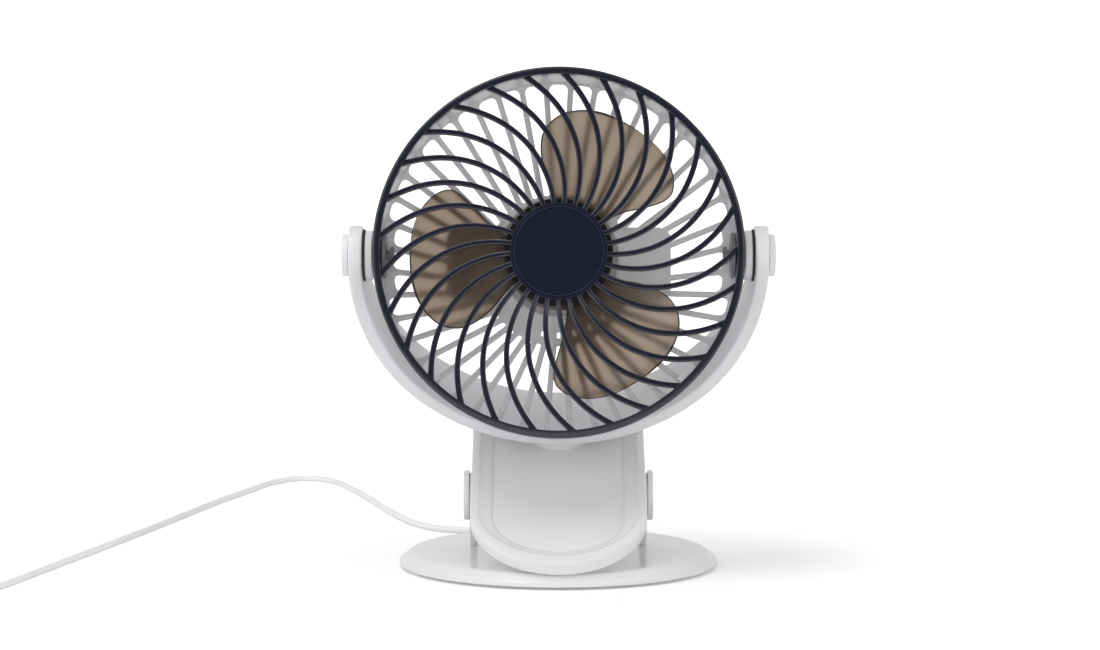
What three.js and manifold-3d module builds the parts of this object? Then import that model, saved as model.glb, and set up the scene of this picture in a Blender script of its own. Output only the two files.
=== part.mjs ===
// Clip fan: a round fan head tilts in a U-shaped yoke, the yoke turns on the sloping upper jaw of a
// duck-bill clip, and the clip's round lower jaw is also the foot that the fan stands on.
// Millimetres, +Z up, the fan faces -Y, origin at the middle of the foot's underside.

import * as THREE from 'three';
import { mergeVertices } from 'three/addons/utils/BufferGeometryUtils.js';
import Module from 'manifold-3d';

const wasm = await Module();
wasm.setup();

const { Vector2, Vector3, Shape, Path, CatmullRomCurve3 } = THREE;
const rad = THREE.MathUtils.degToRad;
const TURN = 2 * Math.PI;

// ---------------------------------------------------------------- driving dimensions

const GAP = 0.3;                    // between pieces that touch

// lower jaw and foot
const BASE_R = 66;                  // round base plate, outside of its rim
const BASE_TOP_R = 61.6;            // inner edge of the bevel
const BASE_TOP = 6.5;               // height of the flat top
const BASE_RIM_LOW = 1.2;           // underside of the rim, just clear of the table
const BASE_RIM_HIGH = 2.9;          // where the upright rim turns into the bevel
const BASE_HOLLOW_R = 59.5;
const BASE_HOLLOW_TOP = 3.4;
const COVER_LOW = 1.3;
const FOOT_R_IN = 50;
const FOOT_R_OUT = 57;
const FOOT_GROOVE_TOP = 2.2;
const BASE_SCREWS_AT = 38;
const LOWER_PAD_HALF = 14.5;
const LOWER_PAD_Y = [-52, -30];
const LOWER_PAD_CORNER = 5;

// clip hinge: its axis runs along X
const HINGE_Y = 3;
const HINGE_Z = 28.8;
const PIN_R = 1.8;
const PIN_HOLE_R = 2.1;
const CHEEK_X = [34.2, 37];         // inside and outside of the base plate's hinge cheeks
const EAR_X = [31.4, 33.7];         // inside and outside of the upper jaw's ears
const CHEEK_HEAD_R = 9.4;
const EAR_HEAD_R = 8.6;
const HINGE_CAP_R = 10.4;
const HINGE_CAP_X = [37.3, 39.4];
const SPRING_WIRE_R = 0.8;
const SPRING_R = 5.2;
const SPRING_TURNS = 4;
const SPRING_HALF_WIDTH = 6.5;

// upper jaw, drawn flat: X across, Y up its slope from the tip, Z square to its rim
const JAW_SLOPE = rad(28);
const JAW_TIP_Y = -66.6;
const JAW_TIP_Z = 10.7;
const JAW_HALF_WIDTH = 36;          // and the radius of its round tip
const JAW_LENGTH = 118;
const JAW_REAR_CORNER_R = 18;
const JAW_SKIRT = 5.8;              // depth of the edge all round
const JAW_DISH = 3;                 // depth of the panel below the rim
const JAW_FLOOR = 2;                // thickness of the panel
const RIM_SIDE = 3.6;               // flat rim beside the dish
const RIM_TIP = 6.2;
const UPPER_PAD_R = 25;
const UPPER_PAD_THICK = 1.4;

// swivel: square to the upper jaw
const SWIVEL_AT = 95.2;             // up the slope from the tip
const SWIVEL_BOSS_R = 12.3;
const SWIVEL_BOSS_TOP = 1.2;
const SWIVEL_BOLT_R = 2.9;
const SWIVEL_HEAD_Z = [4.2, 6.2];
const SWIVEL_WASHER_LOW = -6.3;
const SWIVEL_NUT_Z = [-10.6, -6.6];
const SWIVEL_BOLT_END = -12;
const SWIVEL_COVER_R = 10.4;
const SWIVEL_COVER_Z = [6.7, 7.7];
const PIVOT_HEIGHT = 85;            // tilt axis above the jaw's rim

// yoke, drawn from the tilt axis: X across, Y rearwards, Z up the swivel axis
const ARM_OUT = 85;
const ARM_IN = 79.4;
const YOKE_DROP_OUT = 82.8;
const YOKE_DROP_IN = 77.6;
const ARM_HALF_DEPTH = 12;
const YOKE_HALF_DEPTH = 16.4;
const PIVOT_BOLT_R = 2;
const PIVOT_HOLE_R = 2.3;
const PIVOT_CAP_R = 8.6;
const PIVOT_CAP_THICK = 2.6;
const PIVOT_BOLT_X = [67.6, 86.3];
const PIVOT_WASHER_R = 9.3;
const PIVOT_WASHER_X = [69.9, 71.3];

// head, drawn from the tilt axis: X across, Y up, Z forwards
const HEAD_TILT = rad(9);           // how far the fan looks up
const RING_R = 75;
const RING_FRONT = 17;
const RING_BACK = 8.2;
const RING_IN = 71.9;
const SHELL_R = 73.6;
const SHELL_IN = 72.3;
const SHELL_FRONT = 11.9;
const SHELL_CORNER = 4;
const BACK_FRONT = -9.8;            // inner face of the rear grille
const BACK_REAR = -12;
const REAR_RIBS = 44;
const REAR_RIB_WIDTH = 2.4;
const REAR_RIB_FOCUS = new Vector2(0, -13.5);   // the straight ribs all aim at this point
const SLOT_OUT = 71.7;
const SLOT_OUT_AT_PIVOT = 67.8;
const SLOT_CORNER = 1.6;            // cut off the slots' outer corners
const SLOT_IN = 31.1;               // round a point below the middle
const SLOT_IN_Y = -5.2;
const INNER_HOLES_AT = 26.7;        // round the same point
const INNER_HOLE_R = 1.25;          // the lowest one; the others shrink with every step
const INNER_HOLE_STEP = 0.14;
const SEAT_IN = 24.2;               // ring round the motor
const SEAT_OUT = 25.5;
const SEAT_TOP = -6.4;
const MOTOR_R = 13;
const MOTOR_Z = [-9.5, 2.6];
const SIDE_BOSS_R = 7.4;            // stands out of the shell at each pivot
const SIDE_BOSS_X = [72.8, 76];
const SIDE_FLANGE_R = 10.2;
const SIDE_FLANGE_X = [75.4, 78.4];
const FRONT_RIBS = 29;
const FRONT_RIB_START = rad(8.9);
const FRONT_RIB_SWEEP = rad(29.5);  // how far a rib turns on its way out
const FRONT_RIB_BEND = 1.5;         // the turn grows with this power of the way out
const FRONT_RIB_HALF = [1.05, 1.2]; // half its width at the hub and at the ring
const FRONT_RIB_BACK = [13.8, 12.6];
const FRONT_RIB_HEIGHT = 2.9;
const FRONT_HUB_R = 19.6;
const FRONT_HUB_BACK = 13.6;
const FRONT_HUB_FLOOR = 16.9;
const FRONT_HUB_FACE = 18.6;
const HUB_RIM_IN = 17.9;
const HUB_CAP_R = 17.5;
const HUB_CAP_Z = [17.2, 18.3];
const CATCHES = [45, 135, 225, 315];
const BLADES = 3;
const BLADE_TIP_R = 60.3;
const BLADE_ROOT_R = 20.8;
const BLADE_NECK_R = 22.5;          // from here a blade widens
const BLADE_WIDEST_R = 44.5;
const BLADE_HALF_ANGLE = 27;        // at the neck, in degrees
const BLADE_SPREAD = 8.4;           // added to it where the blade is widest
const BLADE_NARROWING = 26;         // taken off again at the tip
const BLADE_MIDDLE = [66.5, 61.7];  // bearing of its middle inside r 33 and outside r 53
const BLADE_PITCH = 5.2;            // half the height between its two long edges
const BLADE_THICK = 1.3;
const IMPELLER_HUB_R = 22.2;
const IMPELLER_HUB_Z = [-3.5, 9];
const MOTOR_SHAFT_R = 1;

// control box behind the grille, in the head's axes
const BOX_HALF_WIDTH = 46;
const BOX_LOW = -17.5;
const BOX_HIGH = 12.5;
const BOX_CORNER = 5;
const BOX_WALL = 1.8;
const BOX_FRONT = -12.3;
const BOX_REAR = -33.5;
const COVER_REAR = -35.8;
const BUTTON_AT = new Vector2(34.5, -2.5);
const BUTTON_R = 4.6;
const BUTTON_FLANGE_R = 5.6;
const BUTTON_TOP = -37.2;
const COVER_SCREWS = [[-41.5, 9], [41.5, 9], [-41.5, -14], [41.5, -14]];
const CELL_R = 9.1;
const CELL_X = [-37.5, 26.5];
const CELL_Z = -24;

// cord
const CORD_R = 1.45;
const CORD_Z = 1.6;                 // its middle where it lies on the table
const CORD_EXIT_TURN = rad(112);    // where it leaves the base plate's rim
const CORD_EXIT_Z = 3.6;
const RELIEF_END_R = 78;
const COIL_TURNS = 4;
const COIL_OUTER = 19.7;
const COIL_INNER = 12.3;
const COIL_LOW = 2.7;
const COIL_LAYER = 3.4;
const COIL_START = new Vector2(-227.4, -83);
const COIL_HEADING = rad(-107.5);   // the way the cord runs as it enters the coil

// ---------------------------------------------------------------- finishes

const finish = (color, roughness, metalness = 0, extra = {}) =>
  () => new THREE.MeshStandardMaterial({ color, roughness, metalness, ...extra });
const whitePlastic = finish(0xe2e4e9, 0.32);
const navyPlastic = finish(0x1d2236, 0.35);
const smokyPlastic = finish(0x6e6152, 0.15, 0, { transparent: true, opacity: 0.7 });
const rubber = finish(0x2b2c30, 0.85);
const greyPlastic = finish(0x4a4d55, 0.5);
const steel = finish(0xb9bcc2, 0.3, 1);
const cellWrap = finish(0x2f6f5a, 0.45);
const circuitGreen = finish(0x1f5b3a, 0.5);
const cordWhite = finish(0xe8e9ef, 0.45);

// ---------------------------------------------------------------- solids

/** Closed geometry to a solid that can be joined and cut. */
function solid(geometry) {
  const bare = geometry.clone();
  bare.deleteAttribute('normal');
  bare.deleteAttribute('uv');
  const merged = mergeVertices(bare, 1e-4);
  const at = merged.attributes.position.array;
  const corner = (i) => new Vector3(at[3 * i], at[3 * i + 1], at[3 * i + 2]);
  const index = merged.index.array;
  const kept = [];
  let volume = 0;
  for (let t = 0; t < index.length; t += 3) {
    const [a, b, c] = [index[t], index[t + 1], index[t + 2]];
    if (a === b || b === c || c === a) continue;
    kept.push(a, b, c);
    volume += corner(a).dot(corner(b).cross(corner(c)));
  }
  if (volume < 0) kept.reverse();
  return new wasm.Manifold(new wasm.Mesh({
    numProp: 3,
    vertProperties: new Float32Array(at),
    triVerts: new Uint32Array(kept),
  }));
}

const union = (first, ...others) => others.reduce((sum, next) => sum.add(next), first);
const cut = (first, ...others) => others.reduce((rest, next) => rest.subtract(next), first);

function mesh(name, body, material) {
  const { vertProperties, triVerts } = body.getMesh();
  const geometry = new THREE.BufferGeometry();
  geometry.setAttribute('position', new THREE.BufferAttribute(new Float32Array(vertProperties), 3));
  geometry.setIndex(new THREE.BufferAttribute(new Uint32Array(triVerts), 1));
  geometry.computeVertexNormals();
  const part = new THREE.Mesh(geometry, material());
  part.name = name;
  return part;
}

/** Revolves [radius, height] points round Z; the profile ends on the axis or closes on itself. */
function lathe(points, segments) {
  const onAxis = points[0][0] === 0 && points[points.length - 1][0] === 0;
  const profile = onAxis ? points : [...points, points[0]];
  const geometry = new THREE.LatheGeometry(profile.map(([r, z]) => new Vector2(r, z)), segments);
  return solid(geometry.rotateX(Math.PI / 2));
}

const extrude = (shape, depth, curveSegments) =>
  new THREE.ExtrudeGeometry(shape, { depth, bevelEnabled: false, curveSegments });

/** Extrudes an X-Y outline from height low to height high. */
function prism(shape, low, high, curveSegments = 6) {
  return solid(extrude(shape, high - low, curveSegments).translate(0, 0, low));
}

/** Extrudes a Y-Z outline along X. */
function prismX(shape, low, high, curveSegments = 9) {
  const geometry = extrude(shape, high - low, curveSegments);
  const turn = new THREE.Matrix4().makeBasis(
    new Vector3(0, 1, 0), new Vector3(0, 0, 1), new Vector3(1, 0, 0));
  return solid(geometry.applyMatrix4(turn).translate(low, 0, 0));
}

/** Extrudes an X-Z outline along Y. */
function prismY(shape, low, high, curveSegments = 12) {
  const geometry = extrude(shape, high - low, curveSegments);
  const turn = new THREE.Matrix4().makeBasis(
    new Vector3(1, 0, 0), new Vector3(0, 0, 1), new Vector3(0, -1, 0));
  return solid(geometry.applyMatrix4(turn).translate(0, high, 0));
}

/** Round bar between two points, tapering from radius r0 to r1. */
function rod(from, to, r0, r1 = r0, sides = 20) {
  const along = new Vector3().subVectors(to, from);
  const geometry = new THREE.CylinderGeometry(r1, r0, along.length(), sides);
  const turn = new THREE.Quaternion().setFromUnitVectors(new Vector3(0, 1, 0), along.clone().normalize());
  const middle = new Vector3().addVectors(from, to).multiplyScalar(0.5);
  return solid(geometry.applyQuaternion(turn).translate(middle.x, middle.y, middle.z));
}

const rodX = (radius, x0, x1, y = 0, z = 0, sides = 20) =>
  rod(new Vector3(x0, y, z), new Vector3(x1, y, z), radius, radius, sides);
const rodZ = (radius, z0, z1, x = 0, y = 0, sides = 20) =>
  rod(new Vector3(x, y, z0), new Vector3(x, y, z1), radius, radius, sides);

/** Joins rings of equal point counts, in order, and closes both ends with a fan. */
function loft(rings) {
  const count = rings[0].length;
  const at = rings.flat().flatMap((p) => [p.x, p.y, p.z]);
  const triangles = [];
  for (let r = 0; r + 1 < rings.length; r += 1) {
    for (let i = 0; i < count; i += 1) {
      const j = (i + 1) % count;
      const [a, b, c, d] = [r * count + i, r * count + j, (r + 1) * count + j, (r + 1) * count + i];
      triangles.push(a, b, c, a, c, d);
    }
  }
  for (const end of [0, rings.length - 1]) {
    const middle = rings[end].reduce((sum, p) => sum.add(p), new Vector3()).divideScalar(count);
    const hub = at.length / 3;
    at.push(middle.x, middle.y, middle.z);
    for (let i = 0; i < count; i += 1) {
      const [a, b] = [end * count + i, end * count + ((i + 1) % count)];
      triangles.push(...(end === 0 ? [hub, b, a] : [hub, a, b]));
    }
  }
  const geometry = new THREE.BufferGeometry();
  geometry.setAttribute('position', new THREE.BufferAttribute(new Float32Array(at), 3));
  geometry.setIndex(triangles);
  return solid(geometry);
}

/** Round tube along a curve. */
function tube(curve, radius, steps, sides) {
  const section = new Shape();
  for (let i = 0; i < sides; i += 1) {
    const turn = (i / sides) * TURN;
    const point = [radius * Math.cos(turn), radius * Math.sin(turn)];
    if (i === 0) section.moveTo(...point);
    else section.lineTo(...point);
  }
  return solid(new THREE.ExtrudeGeometry(section, { steps, bevelEnabled: false, extrudePath: curve }));
}

/** Polygon whose corners are cut off by their own distances; 0 leaves a corner as it is. */
function trimmedPolygon(corners, distances) {
  return new Shape(corners.flatMap((corner, i) => {
    if (distances[i] === 0) return [corner];
    const before = corners[(i + corners.length - 1) % corners.length];
    const after = corners[(i + 1) % corners.length];
    return [before, after].map((other) =>
      corner.clone().add(other.clone().sub(corner).setLength(distances[i])));
  }));
}

function roundedRectangle(x0, x1, y0, y1, radius) {
  const shape = new Shape();
  shape.absarc(x1 - radius, y0 + radius, radius, -Math.PI / 2, 0);
  shape.absarc(x1 - radius, y1 - radius, radius, 0, Math.PI / 2);
  shape.absarc(x0 + radius, y1 - radius, radius, Math.PI / 2, Math.PI);
  shape.absarc(x0 + radius, y0 + radius, radius, Math.PI, 1.5 * Math.PI);
  return shape;
}

const arcPoints = (cx, cy, rx, ry, from, to, steps) => Array.from({ length: steps + 1 }, (_, i) => {
  const turn = from + ((to - from) * i) / steps;
  return new Vector2(cx + rx * Math.cos(turn), cy + ry * Math.sin(turn));
});

const lift = (points, z) => points.map((p) => new Vector3(p.x, p.y, z));

// ---------------------------------------------------------------- base and lower jaw

/** Rounded tab in Y-Z round a hinge point, widening to a straight foot. */
function hingeTab(centre, radius, footFront, footRear) {
  const shape = new Shape();
  const towards = (foot) => Math.atan2(foot.y - centre.y, foot.x - centre.x);
  const swing = (foot) => Math.acos(radius / foot.distanceTo(centre));
  const front = footFront.y < centre.y ? -1 : 1;
  const from = towards(footFront) + front * swing(footFront);
  const to = towards(footRear) - front * swing(footRear);
  shape.moveTo(footRear.x, footRear.y);
  shape.lineTo(footFront.x, footFront.y);
  shape.absarc(centre.x, centre.y, radius, from, to, front < 0);
  return shape;
}

function basePlate() {
  const plate = lathe([
    [0, BASE_HOLLOW_TOP], [BASE_HOLLOW_R, BASE_HOLLOW_TOP], [BASE_HOLLOW_R, BASE_RIM_LOW],
    [BASE_R, BASE_RIM_LOW], [BASE_R, BASE_RIM_HIGH], [BASE_TOP_R, BASE_TOP], [0, BASE_TOP],
  ], 64);
  const tab = hingeTab(new Vector2(HINGE_Y, HINGE_Z), CHEEK_HEAD_R,
    new Vector2(10, BASE_TOP - 1), new Vector2(36, BASE_TOP - 1));
  const [inside, outside] = CHEEK_X;
  const cheeks = union(prismX(tab, inside, outside), prismX(tab, -outside, -inside));
  const out = new Vector3(Math.cos(CORD_EXIT_TURN), Math.sin(CORD_EXIT_TURN), 0);
  const cordHole = rod(out.clone().multiplyScalar(56).setZ(CORD_EXIT_Z),
    out.clone().multiplyScalar(70).setZ(CORD_EXIT_Z), 2.3, 2.3, 12);
  return cut(
    union(plate, cheeks),
    rodX(PIN_HOLE_R, -40, 40, HINGE_Y, HINGE_Z, 12),
    cordHole,
    prism(lowerPadOutline(GAP), BASE_TOP - 2 * GAP, BASE_TOP + 1, 4),
    ...screwPlaces().map(([x, y]) => rodZ(1.5, 3, 5.4, x, y, 8)),
  );
}

const screwPlaces = () => [90, 210, 330].map((turn) =>
  [BASE_SCREWS_AT * Math.cos(rad(turn)), BASE_SCREWS_AT * Math.sin(rad(turn))]);

/** The lower pad's outline, grown all round by a margin. */
const lowerPadOutline = (grow) => roundedRectangle(
  -LOWER_PAD_HALF - grow, LOWER_PAD_HALF + grow, LOWER_PAD_Y[0] - grow, LOWER_PAD_Y[1] + grow,
  LOWER_PAD_CORNER + grow);

function baseCover() {
  const radius = BASE_HOLLOW_R - GAP;
  const disc = lathe([
    [0, COVER_LOW], [FOOT_R_IN - GAP, COVER_LOW], [FOOT_R_IN - GAP, FOOT_GROOVE_TOP],
    [FOOT_R_OUT + GAP, FOOT_GROOVE_TOP], [FOOT_R_OUT + GAP, COVER_LOW], [radius, COVER_LOW],
    [radius, BASE_HOLLOW_TOP - GAP], [0, BASE_HOLLOW_TOP - GAP],
  ], 36);
  return cut(disc, ...screwPlaces().flatMap(([x, y]) => [
    rodZ(1.5, 1, 4, x, y, 6),
    rodZ(2.9, 1, 2.1, x, y, 8),
  ]));
}

const baseFoot = () => lathe([
  [FOOT_R_IN, 0], [FOOT_R_OUT, 0],
  [FOOT_R_OUT, FOOT_GROOVE_TOP - GAP], [FOOT_R_IN, FOOT_GROOVE_TOP - GAP],
], 36);

const baseScrew = (x, y) => union(rodZ(2.5, 1.2, 1.8, x, y, 8), rodZ(1.1, 1.5, 5, x, y, 6));

function hingeCap(side) {
  const [inside, outside] = HINGE_CAP_X;
  const disc = lathe([
    [0, inside], [HINGE_CAP_R, inside], [HINGE_CAP_R, outside - 0.6], [HINGE_CAP_R - 0.6, outside],
    [0, outside],
  ], 24);
  const turned = disc.rotate([0, 90 * side, 0]).translate([0, HINGE_Y, HINGE_Z]);
  return cut(turned, rodX(PIN_HOLE_R, side * 36, side * 38.3, HINGE_Y, HINGE_Z, 12));
}

/** Wire that winds round the hinge pin, with one leg on the plate and one under the upper jaw. */
function jawSpring() {
  const [wire, coilR, turns, halfWidth] = [SPRING_WIRE_R, SPRING_R, SPRING_TURNS, SPRING_HALF_WIDTH];
  const start = rad(41);
  const sweep = turns * TURN - start;
  const onCoil = (t) => new Vector3(
    -halfWidth + 2 * halfWidth * t,
    HINGE_Y + coilR * Math.cos(start + sweep * t),
    HINGE_Z + coilR * Math.sin(start + sweep * t));
  const lowEnd = new Vector3(-halfWidth, 28, BASE_TOP + GAP + wire);
  const highEnd = jawToWorld(halfWidth, 88, -JAW_DISH - JAW_FLOOR - GAP - wire - 0.2);
  const lowLeg = [0, 0.35, 0.7].map((t) => lowEnd.clone().lerp(onCoil(0), t));
  const highLeg = [0.3, 0.65, 1].map((t) => onCoil(1).lerp(highEnd, t));
  const coil = Array.from({ length: 12 * turns + 1 }, (_, i) => onCoil(i / (12 * turns)));
  const curve = new CatmullRomCurve3([...lowLeg, ...coil, ...highLeg], false, 'centripetal');
  return tube(curve, wire, 8 * turns + 12, 5);
}

// ---------------------------------------------------------------- upper jaw

/** A point drawn on the upper jaw, in the fan's own axes. */
function jawToWorld(x, up, out) {
  return new Vector3(
    x,
    JAW_TIP_Y + up * Math.cos(JAW_SLOPE) - out * Math.sin(JAW_SLOPE),
    JAW_TIP_Z + up * Math.sin(JAW_SLOPE) + out * Math.cos(JAW_SLOPE));
}

/** A point beside the jaw, as distances up its slope and out from its rim. */
function worldToJaw(y, z) {
  const [dy, dz] = [y - JAW_TIP_Y, z - JAW_TIP_Z];
  return new Vector2(
    dy * Math.cos(JAW_SLOPE) + dz * Math.sin(JAW_SLOPE),
    dz * Math.cos(JAW_SLOPE) - dy * Math.sin(JAW_SLOPE));
}

/** Long outline with a half-ellipse tip and two round rear corners, drawn in by inset. */
function jawOutline(sideInset, tipInset, rearInset, inset) {
  const half = JAW_HALF_WIDTH - sideInset;
  const tip = JAW_HALF_WIDTH - tipInset;
  const cornerR = JAW_REAR_CORNER_R - sideInset;
  const rear = JAW_LENGTH - rearInset - cornerR;
  return [
    ...arcPoints(0, JAW_HALF_WIDTH, half - inset, tip - inset, Math.PI, TURN, 22),
    ...arcPoints(half - cornerR, rear, cornerR - inset, cornerR - inset, 0, Math.PI / 2, 5),
    ...arcPoints(cornerR - half, rear, cornerR - inset, cornerR - inset, Math.PI / 2, Math.PI, 5),
  ];
}

function upperJaw() {
  const edge = (inset) => jawOutline(0, 0, 0, inset);
  const panel = (inset) => jawOutline(RIM_SIDE, RIM_TIP, RIM_SIDE, inset);
  const block = loft([
    lift(edge(0.5), -JAW_SKIRT), lift(edge(0), -JAW_SKIRT + 0.6),
    lift(edge(0), -1), lift(edge(0.9), 0),
  ]);
  const dish = loft([
    lift(panel(6.4), -JAW_DISH), lift(panel(4.4), -2.7), lift(panel(2.2), -1.8), lift(panel(0), 0.2),
  ]);
  const under = loft([
    lift(edge(2.2), -JAW_SKIRT - 0.2), lift(edge(3.2), -JAW_DISH - JAW_FLOOR),
  ]);
  const hinge = worldToJaw(HINGE_Y, HINGE_Z);
  const root = -JAW_DISH - JAW_FLOOR + 0.6;
  const ear = hingeTab(hinge, EAR_HEAD_R, new Vector2(26, root), new Vector2(102, root));
  const [inside, outside] = EAR_X;
  return cut(
    union(
      cut(block, dish, under),
      rodZ(SWIVEL_BOSS_R, -JAW_DISH - 1, SWIVEL_BOSS_TOP, 0, SWIVEL_AT, 32),
      prismX(ear, inside, outside),
      prismX(ear, -outside, -inside),
    ),
    rodX(PIN_HOLE_R, -40, 40, hinge.x, hinge.y, 12),
    rodZ(SWIVEL_BOLT_R + GAP, -10, 5, 0, SWIVEL_AT, 16),
  );
}

/** Rubber pad that follows the tip's outline, under the jaw. */
function upperJawPad() {
  const top = -JAW_DISH - JAW_FLOOR - GAP;
  const outline = arcPoints(0, JAW_HALF_WIDTH, UPPER_PAD_R, UPPER_PAD_R, Math.PI, TURN, 16);
  return loft([lift(outline, top - UPPER_PAD_THICK), lift(outline, top)]);
}

const swivelWasher = () => cut(
  rodZ(8, SWIVEL_WASHER_LOW, -JAW_DISH - JAW_FLOOR - GAP, 0, SWIVEL_AT, 20),
  rodZ(SWIVEL_BOLT_R + GAP, -8, -4, 0, SWIVEL_AT, 16));
const swivelNut = () => cut(
  rodZ(5.6, ...SWIVEL_NUT_Z, 0, SWIVEL_AT, 6),
  rodZ(SWIVEL_BOLT_R + GAP, -12, -4, 0, SWIVEL_AT, 16));
const swivelBolt = () => union(
  rodZ(SWIVEL_BOLT_R, SWIVEL_BOLT_END, 5, 0, SWIVEL_AT, 16),
  rodZ(6, ...SWIVEL_HEAD_Z, 0, SWIVEL_AT, 20));

// ---------------------------------------------------------------- yoke

function yoke() {
  const band = new Shape([
    new Vector2(-ARM_OUT, 14),
    ...arcPoints(0, 0, ARM_OUT, YOKE_DROP_OUT, Math.PI, TURN, 32),
    new Vector2(ARM_OUT, 14),
    new Vector2(ARM_IN, 14),
    ...arcPoints(0, 0, ARM_IN, YOKE_DROP_IN, TURN, Math.PI, 32),
    new Vector2(-ARM_IN, 14),
  ]);
  const low = -YOKE_DROP_OUT - 2;
  const flank = new CatmullRomCurve3([
    new Vector3(YOKE_HALF_DEPTH, low, 0), new Vector3(YOKE_HALF_DEPTH, -62, 0),
    new Vector3(15.2, -36, 0), new Vector3(12.9, -16, 0), new Vector3(ARM_HALF_DEPTH, 0, 0),
  ]).getPoints(5);
  const side = new Shape([
    ...flank.map((p) => new Vector2(p.x, p.y)),
    ...arcPoints(0, 0, ARM_HALF_DEPTH, ARM_HALF_DEPTH, 0, Math.PI, 10).slice(1, -1),
    ...flank.reverse().map((p) => new Vector2(-p.x, p.y)),
  ]);
  const arm = prismY(band, -20, 20).intersect(prismX(side, -90, 90));
  const foot = -PIVOT_HEIGHT + SWIVEL_BOSS_TOP + GAP;
  const at = (height) => height - PIVOT_HEIGHT;
  return cut(
    union(arm, rodZ(SWIVEL_BOSS_R, foot, at(5), 0, 0, 32)),
    rodZ(SWIVEL_BOLT_R + GAP, at(-5), at(12), 0, 0, 16),
    rodZ(6.5, at(3.9), at(12), 0, 0, 20),
    rodZ(10.8, at(6.4), at(16), 0, 0, 24),
    rodX(PIVOT_HOLE_R, -90, 90, 0, 0, 12),
  );
}

const swivelCover = () => {
  const at = (height) => height - PIVOT_HEIGHT;
  const [low, high] = SWIVEL_COVER_Z.map(at);
  return lathe([
    [0, low], [SWIVEL_COVER_R, low], [SWIVEL_COVER_R, high - 0.4], [SWIVEL_COVER_R - 0.6, high], [0, high],
  ], 24);
};

function pivotCap(side) {
  const inside = ARM_OUT + GAP;
  const outside = inside + PIVOT_CAP_THICK;
  const disc = lathe([
    [0, inside], [PIVOT_CAP_R, inside], [PIVOT_CAP_R, outside - 0.7], [PIVOT_CAP_R - 0.7, outside],
    [0, outside],
  ], 24).rotate([0, 90 * side, 0]);
  return cut(disc, rodX(PIVOT_HOLE_R, side * 84, side * (inside + 1.4), 0, 0, 12));
}

const pivotBolt = (side) => union(
  rodX(PIVOT_BOLT_R, side * PIVOT_BOLT_X[0], side * PIVOT_BOLT_X[1], 0, 0, 12),
  rodX(4, side * 66.8, side * 68.4, 0, 0, 6));

// ---------------------------------------------------------------- head: rear housing

/** Where a line at a sideways offset from the ribs' common point meets a circle. */
function alongRib(direction, offset, radius, centreY) {
  const side = new Vector2(-direction.y, direction.x);
  const start = REAR_RIB_FOCUS.clone().addScaledVector(side, offset);
  const from = start.clone().sub(new Vector2(0, centreY));
  const half = from.dot(direction);
  const reach = -half + Math.sqrt(half * half - from.lengthSq() + radius * radius);
  return start.addScaledVector(direction, reach);
}

/** One slot between two neighbouring straight ribs, from an inner to an outer circle. */
function ribSlot(turn, inner, outer) {
  const pitch = TURN / REAR_RIBS;
  const ribTowards = (angle) =>
    new Vector2(SHELL_IN * Math.cos(angle), SHELL_IN * Math.sin(angle)).sub(REAR_RIB_FOCUS).normalize();
  const [before, after] = [ribTowards(turn - pitch / 2), ribTowards(turn + pitch / 2)];
  const half = REAR_RIB_WIDTH / 2;
  const corners = [
    alongRib(before, half, inner, SLOT_IN_Y), alongRib(before, half, outer, 0),
    alongRib(after, -half, outer, 0), alongRib(after, -half, inner, SLOT_IN_Y),
  ];
  return trimmedPolygon(corners, [0, SLOT_CORNER, SLOT_CORNER, 0]);
}

/** Slots all round, left closed where the control box stands behind them. */
function rearSlots() {
  const slots = Array.from({ length: REAR_RIBS }, (_, k) => {
    const turn = Math.PI / 2 + (k / REAR_RIBS) * TURN;
    const besidePivot = Math.abs(Math.sin(turn)) < Math.sin(rad(13));
    const outer = besidePivot ? SLOT_OUT_AT_PIVOT : SLOT_OUT;
    return prism(ribSlot(turn, SLOT_IN, outer), BACK_REAR - 1, BACK_FRONT + 1);
  });
  return cut(union(...slots), prism(boxOutline(0), BACK_REAR - 2, BACK_FRONT + 2, 4));
}

/** Small holes below the motor, in line with every other slot. */
function innerHoles() {
  return [-3, -2, -1, 0, 1, 2, 3].map((step) => {
    const turn = -Math.PI / 2 + (2 * step * TURN) / REAR_RIBS;
    const rim = new Vector2(SHELL_IN * Math.cos(turn), SHELL_IN * Math.sin(turn));
    const hole = alongRib(rim.sub(REAR_RIB_FOCUS).normalize(), 0, INNER_HOLES_AT, SLOT_IN_Y);
    const radius = INNER_HOLE_R - INNER_HOLE_STEP * Math.abs(step);
    return rodZ(radius, BACK_REAR - 1, BACK_FRONT + 1, hole.x, hole.y, 8);
  });
}

function rearHousing() {
  const corner = arcPoints(SHELL_R - SHELL_CORNER, BACK_REAR + SHELL_CORNER, SHELL_CORNER, SHELL_CORNER,
    -Math.PI / 2, 0, 2).map((p) => [p.x, p.y]);
  const shell = lathe([
    [0, BACK_REAR], ...corner, [SHELL_R, SHELL_FRONT], [SHELL_IN, SHELL_FRONT],
    [SHELL_IN, BACK_FRONT], [0, BACK_FRONT],
  ], 66);
  const seat = lathe([
    [SEAT_OUT, BACK_FRONT - 1], [SEAT_OUT, SEAT_TOP], [SEAT_IN, SEAT_TOP], [SEAT_IN, BACK_FRONT - 1],
  ], 24);
  const bosses = [-1, 1].flatMap((side) => [
    rodX(SIDE_BOSS_R, side * SIDE_BOSS_X[0], side * SIDE_BOSS_X[1], 0, 0, 16),
    rodX(SIDE_FLANGE_R, side * SIDE_FLANGE_X[0], side * SIDE_FLANGE_X[1], 0, 0, 28),
  ]);
  return cut(
    union(shell, seat, ...bosses),
    rearSlots(),
    ...innerHoles(),
    rodX(PIVOT_HOLE_R, -82, -70, 0, 0, 12),
    rodX(PIVOT_HOLE_R, 70, 82, 0, 0, 12),
  );
}

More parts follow.
